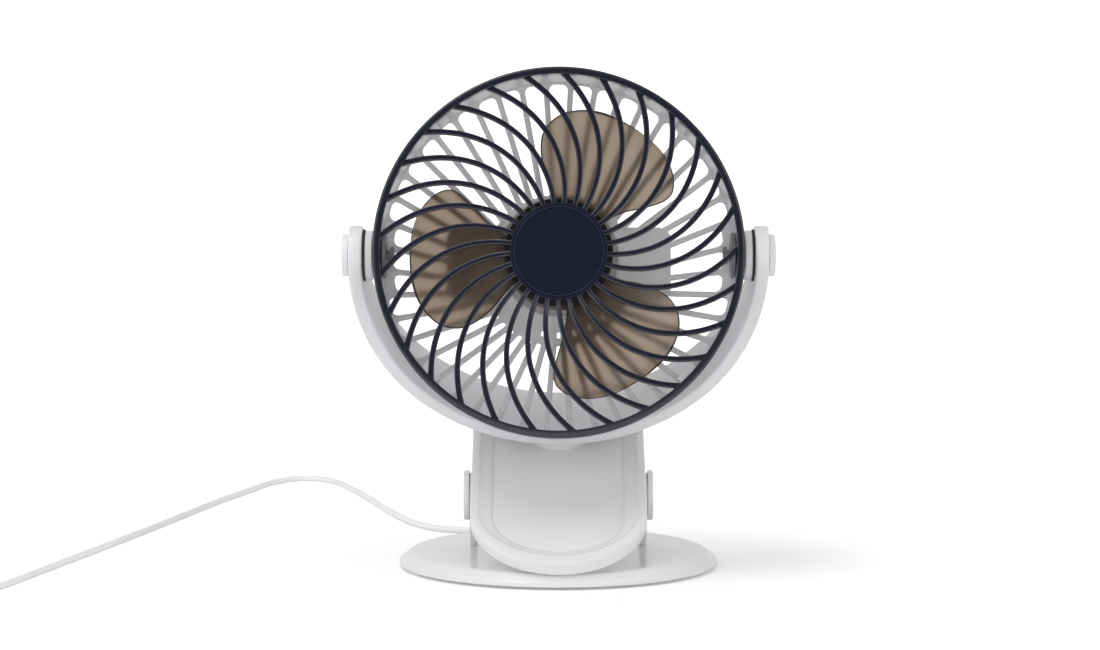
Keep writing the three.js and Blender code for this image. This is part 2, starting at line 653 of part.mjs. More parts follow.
const pivotWasher = (side) => cut(
  rodX(PIVOT_WASHER_R, side * PIVOT_WASHER_X[0], side * PIVOT_WASHER_X[1], 0, 0, 24),
  rodX(PIVOT_HOLE_R, side * 68, side * 73, 0, 0, 12));

function motorCan() {
  const [low, high] = MOTOR_Z;
  const can = lathe([
    [0, low], [MOTOR_R - 0.6, low], [MOTOR_R, low + 0.6], [MOTOR_R, high - 0.8], [MOTOR_R - 0.8, high],
    [0, high],
  ], 24);
  return cut(can, rodZ(MOTOR_SHAFT_R + 0.5, -1.8, high + 1, 0, 0, 12));
}

// ---------------------------------------------------------------- head: front grille

/** A grille rib: it leaves the hub straight out and bends on its way to the ring. */
function frontRib(k) {
  const [start, end] = [FRONT_HUB_R - 0.8, RING_IN + 0.9];
  const rings = Array.from({ length: 6 }, (_, i) => {
    const r = start + ((end - start) * i) / 5;
    const share = (r - FRONT_HUB_R) / (RING_IN - FRONT_HUB_R);
    const out = Math.max(share, 0);
    const turn = FRONT_RIB_START + (k / FRONT_RIBS) * TURN + FRONT_RIB_SWEEP * out ** FRONT_RIB_BEND;
    const perShare = FRONT_RIB_SWEEP * FRONT_RIB_BEND * out ** (FRONT_RIB_BEND - 1);
    const lean = Math.atan(perShare * (r / (RING_IN - FRONT_HUB_R)));
    const across = new Vector2(-Math.sin(turn + lean), Math.cos(turn + lean));
    const half = THREE.MathUtils.lerp(...FRONT_RIB_HALF, share);
    const back = THREE.MathUtils.lerp(...FRONT_RIB_BACK, share);
    const section = [
      [-half, 0], [half, 0], [half - 0.4, FRONT_RIB_HEIGHT], [0.4 - half, FRONT_RIB_HEIGHT],
    ];
    return section.map(([offset, height]) => new Vector3(
      r * Math.cos(turn) + offset * across.x, r * Math.sin(turn) + offset * across.y, back + height));
  });
  return loft(rings);
}

/** Catch that reaches back inside the shell. */
function snapTab(turn) {
  const tab = roundedRectangle(70.2, 71.8, -4, 4, 0.4);
  return prism(tab, 2, 13, 2).rotate([0, 0, turn]);
}

function frontGrille() {
  const ring = lathe([
    [RING_IN, 12.2], [RING_IN, 16.6], [RING_IN + 0.5, RING_FRONT], [RING_R - 1, RING_FRONT],
    [RING_R, RING_FRONT - 1.2], [RING_R, RING_BACK],
    [SHELL_R + GAP, RING_BACK], [SHELL_R + GAP, 12.2],
  ], 2 * FRONT_RIBS);
  const hub = lathe([
    [0, FRONT_HUB_BACK], [FRONT_HUB_R - 0.7, FRONT_HUB_BACK], [FRONT_HUB_R, FRONT_HUB_BACK + 0.7],
    [FRONT_HUB_R, FRONT_HUB_FACE - 0.6], [FRONT_HUB_R - 0.6, FRONT_HUB_FACE],
    [HUB_RIM_IN, FRONT_HUB_FACE], [HUB_RIM_IN, FRONT_HUB_FLOOR], [0, FRONT_HUB_FLOOR],
  ], FRONT_RIBS);
  const ribs = Array.from({ length: FRONT_RIBS }, (_, k) => frontRib(k));
  return union(ring, hub, ...ribs, ...CATCHES.map(snapTab));
}

const hubCap = () => lathe([
  [0, HUB_CAP_Z[0]], [HUB_CAP_R, HUB_CAP_Z[0]], [HUB_CAP_R, HUB_CAP_Z[1] - 0.3],
  [HUB_CAP_R - 0.3, HUB_CAP_Z[1]], [0, HUB_CAP_Z[1]],
], FRONT_RIBS);

// ---------------------------------------------------------------- impeller

const clamp = (share) => Math.min(1, Math.max(0, share));

/** One broad paddle: a thin twisted sheet whose leading edge lies further back. */
function blade(k) {
  const rows = 7;
  const columns = 6;
  const sheet = (raise) => Array.from({ length: rows }, (_, i) => {
    const r = BLADE_ROOT_R + (BLADE_TIP_R - BLADE_ROOT_R) * Math.sin((i / (rows - 1)) * (Math.PI / 2));
    const inward = clamp((r - BLADE_NECK_R) / (BLADE_WIDEST_R - BLADE_NECK_R));
    const outward = clamp((r - BLADE_WIDEST_R) / (BLADE_TIP_R - BLADE_WIDEST_R));
    const half = rad(BLADE_HALF_ANGLE + BLADE_SPREAD * Math.sin((inward * Math.PI) / 2)
      - BLADE_NARROWING * (1 - Math.sqrt(1 - outward ** 2.5)));
    const middle = rad(THREE.MathUtils.lerp(...BLADE_MIDDLE, clamp((r - 33) / 20))) + (k / BLADES) * TURN;
    return Array.from({ length: columns }, (_, j) => {
      const along = (2 * j) / (columns - 1) - 1;
      const turn = middle + half * along;
      const height = 0.9 - BLADE_PITCH * along * (1 - 0.25 * outward) + raise * BLADE_THICK;
      return new Vector3(r * Math.cos(turn), r * Math.sin(turn), height);
    });
  });
  const [back, front] = [sheet(-0.5), sheet(0.5)];
  const sections = back.map((row, i) => [...row, ...front[i].slice().reverse()]);
  return loft(sections);
}

function impeller() {
  const [low, high] = IMPELLER_HUB_Z;
  const bore = MOTOR_SHAFT_R + GAP;
  const cup = lathe([
    [0, high], [IMPELLER_HUB_R - 4.6, high], [IMPELLER_HUB_R - 2.2, high - 1.6],
    [IMPELLER_HUB_R, low + 2], [IMPELLER_HUB_R, low], [IMPELLER_HUB_R - 1.5, low],
    [IMPELLER_HUB_R - 3.6, high - 2], [3.5, high - 2], [3.5, 3.2], [bore, 3.2], [bore, high - 1],
    [0, high - 1],
  ], 24);
  return union(cup, ...Array.from({ length: BLADES }, (_, k) => blade(k)));
}

// ---------------------------------------------------------------- control box

const boxOutline = (inset) => roundedRectangle(
  inset - BOX_HALF_WIDTH, BOX_HALF_WIDTH - inset, BOX_LOW + inset, BOX_HIGH - inset, BOX_CORNER - inset);

function controlBox() {
  const shell = cut(
    prism(boxOutline(0), BOX_REAR, BOX_FRONT, 4),
    prism(boxOutline(BOX_WALL), BOX_REAR - 1, BOX_FRONT - BOX_WALL, 4));
  const bosses = COVER_SCREWS.map(([x, y]) =>
    rodZ(2.8, BOX_REAR, BOX_FRONT - 1, x, y, 12));
  const holes = COVER_SCREWS.map(([x, y]) => rodZ(1.4, BOX_REAR - 1, -22, x, y, 8));
  return cut(union(shell, ...bosses), ...holes);
}

function rearCover() {
  const edge = (inset) => boxOutline(inset).extractPoints(4).shape;
  const lid = loft([
    lift(edge(0.9), COVER_REAR), lift(edge(0.2), COVER_REAR + 0.4), lift(edge(0), COVER_REAR + 1),
    lift(edge(0), BOX_REAR - GAP),
  ]);
  return cut(
    lid,
    rodZ(BUTTON_R + GAP, COVER_REAR - 1, BOX_REAR + 1, BUTTON_AT.x, BUTTON_AT.y, 20),
    ...COVER_SCREWS.flatMap(([x, y]) => [
      rodZ(1.5, COVER_REAR - 1, BOX_REAR + 1, x, y, 6),
      rodZ(2.8, COVER_REAR - 1, COVER_REAR + 1.1, x, y, 8),
    ]),
  );
}

const coverScrew = ([x, y]) => union(
  rodZ(2.4, COVER_REAR + 0.1, COVER_REAR + 0.8, x, y, 8),
  rodZ(1.1, COVER_REAR + 0.5, -24, x, y, 6));

const batteryCell = () => union(
  rodX(CELL_R, ...CELL_X, BUTTON_AT.y, CELL_Z, 20),
  rodX(3, CELL_X[1] - 0.5, CELL_X[1] + 1, BUTTON_AT.y, CELL_Z, 12));

const controlBoard = () => prism(roundedRectangle(29.6, 43.6, -10.6, 5.4, 1), -30.2, -29, 2);

const speedButton = () => {
  const { x, y } = BUTTON_AT;
  return union(
    rodZ(BUTTON_FLANGE_R, BOX_REAR + 0.2, BOX_REAR + 1.7, x, y, 20),
    rodZ(BUTTON_R, BUTTON_TOP + 0.4, BOX_REAR + 1, x, y, 20),
    rodZ(BUTTON_R - 0.6, BUTTON_TOP, BUTTON_TOP + 0.7, x, y, 20));
};

// ---------------------------------------------------------------- cord

const exitDirection = new Vector3(Math.cos(CORD_EXIT_TURN), Math.sin(CORD_EXIT_TURN), 0);
const exitPoint = (radius) => exitDirection.clone().multiplyScalar(radius).setZ(CORD_EXIT_Z);

const strainRelief = () => union(
  rod(exitPoint(60), exitPoint(67), 2, 2, 12),
  rod(exitPoint(66.5), exitPoint(68.5), 3, 3, 12),
  rod(exitPoint(68), exitPoint(RELIEF_END_R), 2.6, 1.9, 12));

/** The way the cord lies on the table, from the base plate to the coil. */
const CORD_POINTS = [
  [-33.6, 82.4], [-39.6, 86], [-47.6, 88.6], [-56, 95], [-66.4, 112.4], [-78.6, 148.6],
  [-89.2, 186.8], [-100, 222], [-109.6, 247.6], [-119.6, 261], [-130.6, 261.6], [-140.8, 247],
  [-149.6, 218], [-160.8, 179.2], [-171.6, 134], [-182.7, 87.8], [-196.2, 34.3], [-209.3, -16.7],
  [-221.2, -62],
];

const coilWay = new Vector3(Math.cos(COIL_HEADING), Math.sin(COIL_HEADING), 0);
const coilEntry = new Vector3(COIL_START.x, COIL_START.y, COIL_LOW);

function cordRun() {
  const start = exitPoint(RELIEF_END_R + GAP);
  const points = [
    start,
    exitPoint(RELIEF_END_R + GAP + 2 * CORD_R),
    ...CORD_POINTS.map(([x, y]) => new Vector3(x, y, CORD_Z)),
    coilEntry.clone().addScaledVector(coilWay, -12).setZ(CORD_Z + 0.6),
    coilEntry.clone().addScaledVector(coilWay, -2 * CORD_R - GAP),
    coilEntry.clone().addScaledVector(coilWay, -GAP),
  ];
  return tube(new CatmullRomCurve3(points, false, 'centripetal'), CORD_R, 62, 8);
}

/** Two layers of turns: the lower one winds in, the upper one winds out again. */
class CoilCurve extends THREE.Curve {
  constructor() {
    super();
    this.middle = new Vector3(-coilWay.y, coilWay.x, 0).multiplyScalar(-COIL_OUTER).add(coilEntry);
    this.middle.addScaledVector(coilWay, 2 * CORD_R);
    this.straight = (2 * CORD_R) / this.turnsLength();
  }

  turnsLength() {
    return COIL_TURNS * Math.PI * (COIL_OUTER + COIL_INNER) + 4 * CORD_R;
  }

  /** A point on the wound stretch, from 0 where it starts to 1 where it ends. */
  wound(share) {
    const half = COIL_TURNS / 2;
    const turns = share * COIL_TURNS;
    const climb = Math.min(Math.max(turns - half + 0.25, 0), 0.5) * 2;
    const fromMiddle = Math.max(Math.abs(turns - half) - 0.25, 0) / (half - 0.25);
    const radius = COIL_INNER + (COIL_OUTER - COIL_INNER) * fromMiddle;
    const turn = COIL_HEADING + Math.PI / 2 - turns * TURN;
    const eased = climb * climb * (3 - 2 * climb);
    return new Vector3(
      this.middle.x + radius * Math.cos(turn), this.middle.y + radius * Math.sin(turn),
      COIL_LOW + COIL_LAYER * eased);
  }

  getPoint(t, target = new Vector3()) {
    if (t < this.straight) {
      return target.copy(this.wound(0)).addScaledVector(coilWay, (t / this.straight - 1) * 2 * CORD_R);
    }
    if (t > 1 - this.straight) {
      const past = 1 - (1 - t) / this.straight;
      return target.copy(this.wound(1)).addScaledVector(coilWay, past * 2 * CORD_R);
    }
    return target.copy(this.wound((t - this.straight) / (1 - 2 * this.straight)));
  }
}

const coilCurve = new CoilCurve();

/** Least clear distance between stretches of the coil that aren't neighbours. */
function coilGap() {
  const points = coilCurve.getSpacedPoints(1200);
  const apart = Math.ceil((1200 * 6 * CORD_R) / coilCurve.getLength());
  let least = Infinity;
  for (let i = 0; i < points.length; i += 1) {
    for (let j = i + apart; j < points.length; j += 1) {
      least = Math.min(least, points[i].distanceTo(points[j]));
    }
  }
  return least - 2 * CORD_R;
}

const cordCoil = () => tube(coilCurve, CORD_R, 24 * COIL_TURNS, 6);

/** Strap round all the turns at one place. */
function coilTie() {
  const inner = [COIL_INNER - CORD_R - 1.1, COIL_OUTER + CORD_R + 0.5];
  const height = [COIL_LOW - CORD_R - GAP, COIL_LOW + COIL_LAYER + CORD_R + GAP];
  const wall = 0.85;
  const strap = roundedRectangle(inner[0] - wall, inner[1] + wall, height[0] - wall, height[1] + wall, 2);
  strap.holes.push(new Path(
    roundedRectangle(inner[0], inner[1], height[0], height[1], 1.2).extractPoints(2).shape.reverse()));
  const turn = THREE.MathUtils.radToDeg(COIL_HEADING) - 90;
  const { x, y } = coilCurve.middle;
  return prismY(strap, -3, 3, 2).rotate([0, 0, turn]).translate([x, y, 0]);
}

const PLUG_Z = 3.9;
const TAIL_LENGTH = 62;

const tailPoint = (distance, z) =>
  coilCurve.getPoint(1).addScaledVector(coilWay, distance).setZ(z);

function cordTail() {
  const top = COIL_LOW + COIL_LAYER;
  const points = [
    tailPoint(GAP, top), tailPoint(4, top), tailPoint(16, 4.4), tailPoint(28, CORD_Z + 0.2),
    tailPoint(40, CORD_Z + 0.1), tailPoint(50, 2.9), tailPoint(TAIL_LENGTH - 4, PLUG_Z),
    tailPoint(TAIL_LENGTH, PLUG_Z),
  ];
  return tube(new CatmullRomCurve3(points, false, 'centripetal'), CORD_R, 16, 8);
}

/** Places something drawn along +Y at the tail's end. */
const atPlug = (body) => {
  const end = tailPoint(TAIL_LENGTH, 0);
  return body.rotate([0, 0, THREE.MathUtils.radToDeg(COIL_HEADING) - 90]).translate([end.x, end.y, 0]);
};

function plugBody() {
  const section = (halfWidth, halfHeight, y) => roundedRectangle(
    -halfWidth, halfWidth, -halfHeight, halfHeight, Math.min(halfWidth, halfHeight) * 0.6,
  ).extractPoints(2).shape.map((p) => new Vector3(p.x, y, PLUG_Z + p.y));
  const neck = rod(new Vector3(0, GAP, PLUG_Z), new Vector3(0, 9, PLUG_Z), 2, 2.7, 12);
  const grip = loft([
    section(4.6, 2.9, 8), section(7.6, 3.7, 11), section(7.8, 3.8, 27), section(7.2, 3.4, 28),
  ]);
  return atPlug(union(neck, grip));
}

function plugShell() {
  const outer = prismY(roundedRectangle(-6, 6, PLUG_Z - 2.25, PLUG_Z + 2.25, 0.5), 28.3, 40.3, 2);
  const inner = prismY(roundedRectangle(-5.5, 5.5, PLUG_Z - 0.1, PLUG_Z + 1.8, 0.3), 31, 41, 2);
  return atPlug(cut(outer, inner));
}

// ---------------------------------------------------------------- assembly

function group(...children) {
  const whole = new THREE.Group();
  whole.add(...children.flat());
  return whole;
}

const SIDES = [['left', -1], ['right', 1]];

function baseBody() {
  return group(
    mesh('base_plate', basePlate(), whitePlastic),
    mesh('base_cover', baseCover(), whitePlastic),
    mesh('base_foot', baseFoot(), rubber),
    screwPlaces().map(([x, y], i) => mesh(`base_screw_${i + 1}`, baseScrew(x, y), steel)),
    mesh('lower_jaw_pad', prism(lowerPadOutline(0), BASE_TOP - GAP, BASE_TOP + 1, 4), rubber),
    mesh('hinge_pin', rodX(PIN_R, -38, 38, HINGE_Y, HINGE_Z, 16), steel),
    SIDES.map(([name, side]) => mesh(`hinge_cap_${name}`, hingeCap(side), whitePlastic)),
    mesh('jaw_spring', jawSpring(), steel),
    mesh('strain_relief', strainRelief(), cordWhite),
  );
}

function cordBody() {
  return group(
    mesh('cord_run', cordRun(), cordWhite),
    mesh('cord_coil', cordCoil(), cordWhite),
    mesh('coil_tie', coilTie(), greyPlastic),
    mesh('cord_tail', cordTail(), cordWhite),
    mesh('usb_plug_body', plugBody(), cordWhite),
    mesh('usb_plug_shell', plugShell(), steel),
  );
}

function headBody() {
  const head = group(
    mesh('rear_housing', rearHousing(), whitePlastic),
    mesh('front_grille', frontGrille(), navyPlastic),
    mesh('hub_cap', hubCap(), navyPlastic),
    SIDES.map(([name, side]) => mesh(`pivot_washer_${name}`, pivotWasher(side), greyPlastic)),
    mesh('motor_can', motorCan(), steel),
    mesh('motor_shaft', rodZ(MOTOR_SHAFT_R, -1.5, 7.7, 0, 0, 12), steel),
    mesh('impeller', impeller(), smokyPlastic),
    mesh('control_box', controlBox(), whitePlastic),
    mesh('rear_cover', rearCover(), whitePlastic),
    COVER_SCREWS.map((place, i) => mesh(`cover_screw_${i + 1}`, coverScrew(place), steel)),
    mesh('battery_cell', batteryCell(), cellWrap),
    mesh('control_board', controlBoard(), circuitGreen),
    mesh('speed_button', speedButton(), whitePlastic),
  );
  head.rotation.x = Math.PI / 2 - HEAD_TILT - JAW_SLOPE;
  return head;
}

function yokeBody() {
  const body = group(
    mesh('yoke', yoke(), whitePlastic),
    mesh('swivel_cover', swivelCover(), whitePlastic),
    SIDES.map(([name, side]) => mesh(`pivot_cap_${name}`, pivotCap(side), whitePlastic)),
    SIDES.map(([name, side]) => mesh(`pivot_bolt_${name}`, pivotBolt(side), steel)),
    headBody(),
  );
  body.position.set(0, SWIVEL_AT, PIVOT_HEIGHT);
  return body;
}

function jawBody() {
  const jaw = group(
    mesh('upper_jaw', upperJaw(), whitePlastic),
    mesh('upper_jaw_pad', upperJawPad(), rubber),
    mesh('swivel_bolt', swivelBolt(), steel),
    mesh('swivel_washer', swivelWasher(), steel),
    mesh('swivel_nut', swivelNut(), steel),
    yokeBody(),
  );
  jaw.position.set(0, JAW_TIP_Y, JAW_TIP_Z);
  jaw.rotation.x = JAW_SLOPE;
  return jaw;
}

console.log('least gap of the coil to itself, mm:', coilGap().toFixed(2));

const fan = group(baseBody(), cordBody(), jawBody());
fan.name = 'clip_fan';
fan.updateMatrixWorld(true);

export default fan;
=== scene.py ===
"""Looks of a clip fan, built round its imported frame: shells, grilles, blades, lead and studio.

Sizes in the classes are millimetres in each sub-assembly's own axes. Axes.place turns them into the
frame's metres, so every object sits at the origin with its place in its mesh.
"""

import logging
import math
from dataclasses import dataclass, field
from enum import Enum

import bmesh
import bpy
import numpy as np
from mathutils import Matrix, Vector


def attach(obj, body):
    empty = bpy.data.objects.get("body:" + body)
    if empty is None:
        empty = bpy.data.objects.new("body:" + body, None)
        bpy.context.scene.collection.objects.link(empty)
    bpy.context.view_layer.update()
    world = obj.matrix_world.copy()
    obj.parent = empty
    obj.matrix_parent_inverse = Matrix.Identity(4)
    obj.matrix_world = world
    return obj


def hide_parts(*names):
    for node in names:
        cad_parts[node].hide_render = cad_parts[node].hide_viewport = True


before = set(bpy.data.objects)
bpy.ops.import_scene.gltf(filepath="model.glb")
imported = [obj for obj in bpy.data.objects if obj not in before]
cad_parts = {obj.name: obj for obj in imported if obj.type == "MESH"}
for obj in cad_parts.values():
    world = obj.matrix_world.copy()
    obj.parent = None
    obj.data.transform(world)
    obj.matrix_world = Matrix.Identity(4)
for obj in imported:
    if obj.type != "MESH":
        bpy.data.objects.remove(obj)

LOG = logging.getLogger("clip_fan")
MM = 0.001
TAU = 2 * math.pi
RIGHT_ANGLE = math.pi / 2
SAME_POINT = 1e-5
WELD_GAP = 1e-6
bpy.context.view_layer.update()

Points = np.ndarray
Skin = tuple[Points, list[Points]]
UP = np.array([0.0, 0.0, 1.0])
LEVEL = np.array([1.0, 1.0, 0.0])


# ------------------------------------------------------------------ axes and directions


@dataclass(frozen=True)
class Axes:
    """Where a sub-assembly is drawn: an origin in metres and a turn about X.

    Args:
        origin: the local zero point in the frame, in metres.
        slope: how far local Y leans from the frame's Y towards +Z, in degrees.
    """

    origin: tuple[float, float, float] = (0.0, 0.0, 0.0)
    slope: float = 0.0

    def place(self, points: Points) -> Points:
        """Turn local millimetres into frame metres: origin + x X + y Y' + z Z'.

        Args:
            points: local points of shape (..., 3).

        Returns:
            The same points in the frame.
        """
        lean = math.radians(self.slope)
        basis = np.array([
            [1.0, 0.0, 0.0],
            [0.0, math.cos(lean), math.sin(lean)],
            [0.0, -math.sin(lean), math.cos(lean)],
        ])
        return np.array(self.origin) + (np.asarray(points, float) * MM) @ basis


WORLD = Axes()
JAW_AXES = Axes((0.0, -0.0666, 0.0107), 28.0)
PIVOT = tuple(JAW_AXES.place(np.array([0.0, 95.2, 85.0])))
YOKE_AXES = Axes(PIVOT, 28.0)
HEAD_AXES = Axes(PIVOT, 81.0)


class Way(Enum):
    """The local direction that a turned piece's axis points to."""

    UP = "z"
    RIGHT = "x"
    LEFT = "-x"


SIDES = ((Way.LEFT, "left"), (Way.RIGHT, "right"))


# ------------------------------------------------------------------ curves and outlines


def unit(vectors: Points) -> Points:
    """Vectors divided by their own lengths."""
    return vectors / np.maximum(np.linalg.norm(vectors, axis=-1, keepdims=True), 1e-12)


def smooth(share: Points) -> Points:
    """The S-curve 3 t^2 - 2 t^3 of a share held between 0 and 1."""
    held = np.clip(share, 0.0, 1.0)
    return held * held * (3.0 - 2.0 * held)


def bearings(count: int) -> Points:
    """Angles of count even steps round a full turn."""
    return np.linspace(0.0, TAU, count, endpoint=False)


def aimed(turn: Points | float) -> Points:
    """Level directions (cos a, sin a) at some bearings."""
    return np.stack([np.cos(turn), np.sin(turn)], axis=-1)


def parabola(start: Points, corner: Points, end: Points, t: Points) -> Points:
    """Round a corner: (1-t)^2 start + 2t(1-t) corner + t^2 end, for t from 0 to 1."""
    return (1 - t) ** 2 * start + 2 * t * (1 - t) * corner + t ** 2 * end


def quarter_round(edge: float | Points, steps: int) -> tuple[Points, Points]:
    """Insets e (1 - sin a) and depths e (1 - cos a) of a quarter-round edge, face first."""
    angle = np.linspace(0.0, RIGHT_ANGLE, steps)
    return edge * (1 - np.sin(angle)), edge * (1 - np.cos(angle))


def eased(points: Points | list, cuts: float | list[float], steps: int = 4,
          closed: bool = False) -> Points:
    """Round a polyline's corners, each by the parabola between two points beside it.

    Args:
        points: the corners, of shape (n, 2) or (n, 3).
        cuts: how far the two points lie from each corner.
        steps: spans in each arc.
        closed: whether the last corner joins the first; else both ends stay as they are.

    Returns:
        The rounded polyline.
    """
    corners = np.asarray(points, float)
    back = np.roll(corners, 1, axis=0) - corners
    ahead = np.roll(corners, -1, axis=0) - corners
    room = 0.49 * np.minimum(np.linalg.norm(back, axis=1), np.linalg.norm(ahead, axis=1))
    reach = np.minimum(np.broadcast_to(np.asarray(cuts, float), room.shape), room)[:, None]
    start, end = corners + unit(back) * reach, corners + unit(ahead) * reach
    t = np.linspace(0.0, 1.0, steps + 1)[None, :, None]
    arcs = parabola(start[:, None], corners[:, None], end[:, None], t)
    if closed:
        line = arcs.reshape(-1, corners.shape[1])
        return line[np.linalg.norm(line - np.roll(line, 1, axis=0), axis=1) > SAME_POINT]
    line = np.vstack([corners[:1], arcs[1:-1].reshape(-1, corners.shape[1]), corners[-1:]])
    return line[np.r_[True, np.linalg.norm(np.diff(line, axis=0), axis=1) > SAME_POINT]]


def along_loop(outline: Points) -> Points:
    """Unit direction of a closed outline at each of its points."""
    return unit(np.roll(outline, -1, axis=0) - np.roll(outline, 1, axis=0))


def inset(outline: Points, depth: float) -> Points:
    """Move a counter-clockwise outline inwards along its normals by depth."""
    along = along_loop(outline)
    return outline + depth * np.stack([-along[:, 1], along[:, 0]], axis=1)


def raised(flat: Points, height: float | Points) -> Points:
    """Flat points of shape (..., 2) lifted to a height, or each to its own."""
    level = np.broadcast_to(np.asarray(height, float), flat.shape[:-1])
    return np.concatenate([flat, level[..., None]], axis=-1)


def rounded_box(x0: float, x1: float, y0: float, y1: float, radius: float,
                steps: int = 8) -> Points:
    """Counter-clockwise rectangle whose corners are arcs: corner middle + r (cos a, sin a).

    Args:
        x0: left side.
        x1: right side.
        y0: lower side.
        y1: upper side.
        radius: the corners' radius.
        steps: spans in each corner.

    Returns:
        The outline, of shape (n, 2).
    """
    middles = ((x1 - radius, y1 - radius), (x0 + radius, y1 - radius),
               (x0 + radius, y0 + radius), (x1 - radius, y0 + radius))
    angle = np.linspace(0.0, RIGHT_ANGLE, steps + 1)
    return np.vstack([np.array(middle) + radius * aimed(angle + quarter * RIGHT_ANGLE)
                      for quarter, middle in enumerate(middles)])


def through(points: Points, spans: int) -> Points:
    """Smooth line through points: a centripetal Catmull-Rom curve.

    Knots are spaced by the square root of each chord, and each span is blended from the three
    straight lines through its four nearest points.

    Args:
        points: the points to pass, of shape (n, 3).
        spans: steps between two of them.

    Returns:
        The line's points.
    """
    ends = np.vstack([2 * points[0] - points[1], points, 2 * points[-1] - points[-2]])
    p0, p1, p2, p3 = ends[:-3], ends[1:-2], ends[2:-1], ends[3:]
    step = [np.sqrt(np.linalg.norm(b - a, axis=1))[:, None]
            for a, b in ((p0, p1), (p1, p2), (p2, p3))]
    t0, t1 = 0.0, step[0]
    t2 = t1 + step[1]
    t3 = t2 + step[2]
    t = t1 + np.arange(spans)[:, None, None] / spans * (t2 - t1)
    a1 = ((t1 - t) * p0 + (t - t0) * p1) / (t1 - t0)
    a2 = ((t2 - t) * p1 + (t - t1) * p2) / (t2 - t1)
    a3 = ((t3 - t) * p2 + (t - t2) * p3) / (t3 - t2)
    b1 = ((t2 - t) * a1 + (t - t0) * a2) / (t2 - t0)
    b2 = ((t3 - t) * a2 + (t - t1) * a3) / (t3 - t1)
    line = ((t2 - t) * b1 + (t - t1) * b2) / (t2 - t1)
    return np.vstack([np.swapaxes(line, 0, 1).reshape(-1, 3), points[-1:]])


def evenly(line: Points, step: float) -> Points:
    """Points a step apart along a polyline.

    Args:
        line: the polyline's points.
        step: the wished distance; it gives a little so that both ends stay.

    Returns:
        The new points.
    """
    run = np.r_[0.0, np.cumsum(np.linalg.norm(np.diff(line, axis=0), axis=1))]
    at = np.linspace(0.0, run[-1], max(2, round(run[-1] / step) + 1))
    return np.stack([np.interp(at, run, line[:, k]) for k in range(line.shape[1])], axis=1)


# ------------------------------------------------------------------ skins


def numbered(*shape: int) -> Points:
    """Point numbers from 0 in an array of this shape."""
    return np.arange(math.prod(shape)).reshape(shape)


def row_quads(index: Points, turned_over: bool = False) -> Points:
    """Quads between closed rows of point numbers.

    Args:
        index: the numbers, of shape (..., rows, points in a row).
        turned_over: whether the quads face the other way.

    Returns:
        Faces of shape (n, 4).
    """
    ahead = np.roll(index, -1, axis=-1)
    corners = [index[..., :-1, :], ahead[..., :-1, :], ahead[..., 1:, :], index[..., 1:, :]]
    quads = np.stack(corners, axis=-1).reshape(-1, 4)
    return np.roll(quads[:, ::-1], 1, axis=1) if turned_over else quads


def loft(rows: Points) -> Skin:
    """Skin through closed rows, with a fan to the middle at each end.

    Args:
        rows: points of shape (rows, points in a row, 3).

    Returns:
        The points and the faces: quads between rows and triangles at both ends.
    """
    count, around, _ = rows.shape
    index = numbered(count, around)
    ahead = np.roll(index, -1, axis=1)
    ends = np.stack([rows[0].mean(axis=0), rows[-1].mean(axis=0)])
    first = np.stack([np.full(around, count * around), ahead[0], index[0]], axis=-1)
    last = np.stack([np.full(around, count * around + 1), index[-1], ahead[-1]], axis=-1)
    return np.vstack([rows.reshape(-1, 3), ends]), [row_quads(index), np.vstack([first, last])]


def hoop(rows: Points) -> Skin:
    """Skin through closed rows whose last row joins the first, as on a torus."""
    index = numbered(*rows.shape[:2])
    return rows.reshape(-1, 3), [row_quads(np.vstack([index, index[:1]]))]


def joined(skins: list[Skin]) -> Skin:
    """One skin out of several, with their points numbered on.

    Args:
        skins: the skins, in order.

    Returns:
        The joined skin.
    """
    starts = np.cumsum([0] + [len(points) for points, _ in skins])
    faces = [group + start for (_, groups), start in zip(skins, starts) for group in groups]
    return np.vstack([points for points, _ in skins]), faces


def turned(profile: Points, segments: int = 96, closed: bool = False, way: Way = Way.UP,
           centre: tuple[float, float, float] = (0.0, 0.0, 0.0)) -> Skin:
    """Revolve a profile of (radius, height): x = r cos a, y = r sin a, z = h.

    Args:
        profile: the outline; an open one is closed at both ends by a disc.
        segments: steps round the axis.
        closed: whether the profile is a closed loop away from the axis.
        way: where the axis points.
        centre: where the axis starts.

    Returns:
        The skin.
    """
    angle = bearings(segments)
    radius, height = profile[:, :1], profile[:, 1:]
    a, b, c = radius * np.cos(angle), radius * np.sin(angle), height + 0 * angle
    order = {Way.UP: (a, b, c), Way.RIGHT: (c, a, b), Way.LEFT: (-c, b, a)}[way]
    rows = np.stack(order, axis=-1) + np.array(centre)
    return hoop(rows) if closed else loft(rows)


def slab(outline: Points, low: float, high: float, edge: float, axis: int = 2) -> Skin:
    """Plate of an outline between two heights, with quarter-round edges.

    Args:
        outline: counter-clockwise corners of shape (n, 2).
        low: the lower face along axis.
        high: the upper face along axis.
        edge: radius of the rounding.
        axis: 2 extrudes an X-Y outline along Z, and 0 a Y-Z outline along X.

    Returns:
        The skin.
    """
    insets, depths = quarter_round(edge, 5)
    pairs = [*zip(insets, low + depths), *zip(insets[::-1], high - depths[::-1])]
    stack = np.stack([raised(inset(outline, depth), height) for depth, height in pairs])
    return loft(stack if axis == 2 else stack[..., [2, 0, 1]])


def mirrored_slabs(outline: Points, low: float, high: float, edge: float) -> list[Skin]:
    """A plate of a Y-Z outline on each side of the middle plane, low to high off it."""
    return [slab(outline, low, high, edge, axis=0), slab(outline, -high, -low, edge, axis=0)]


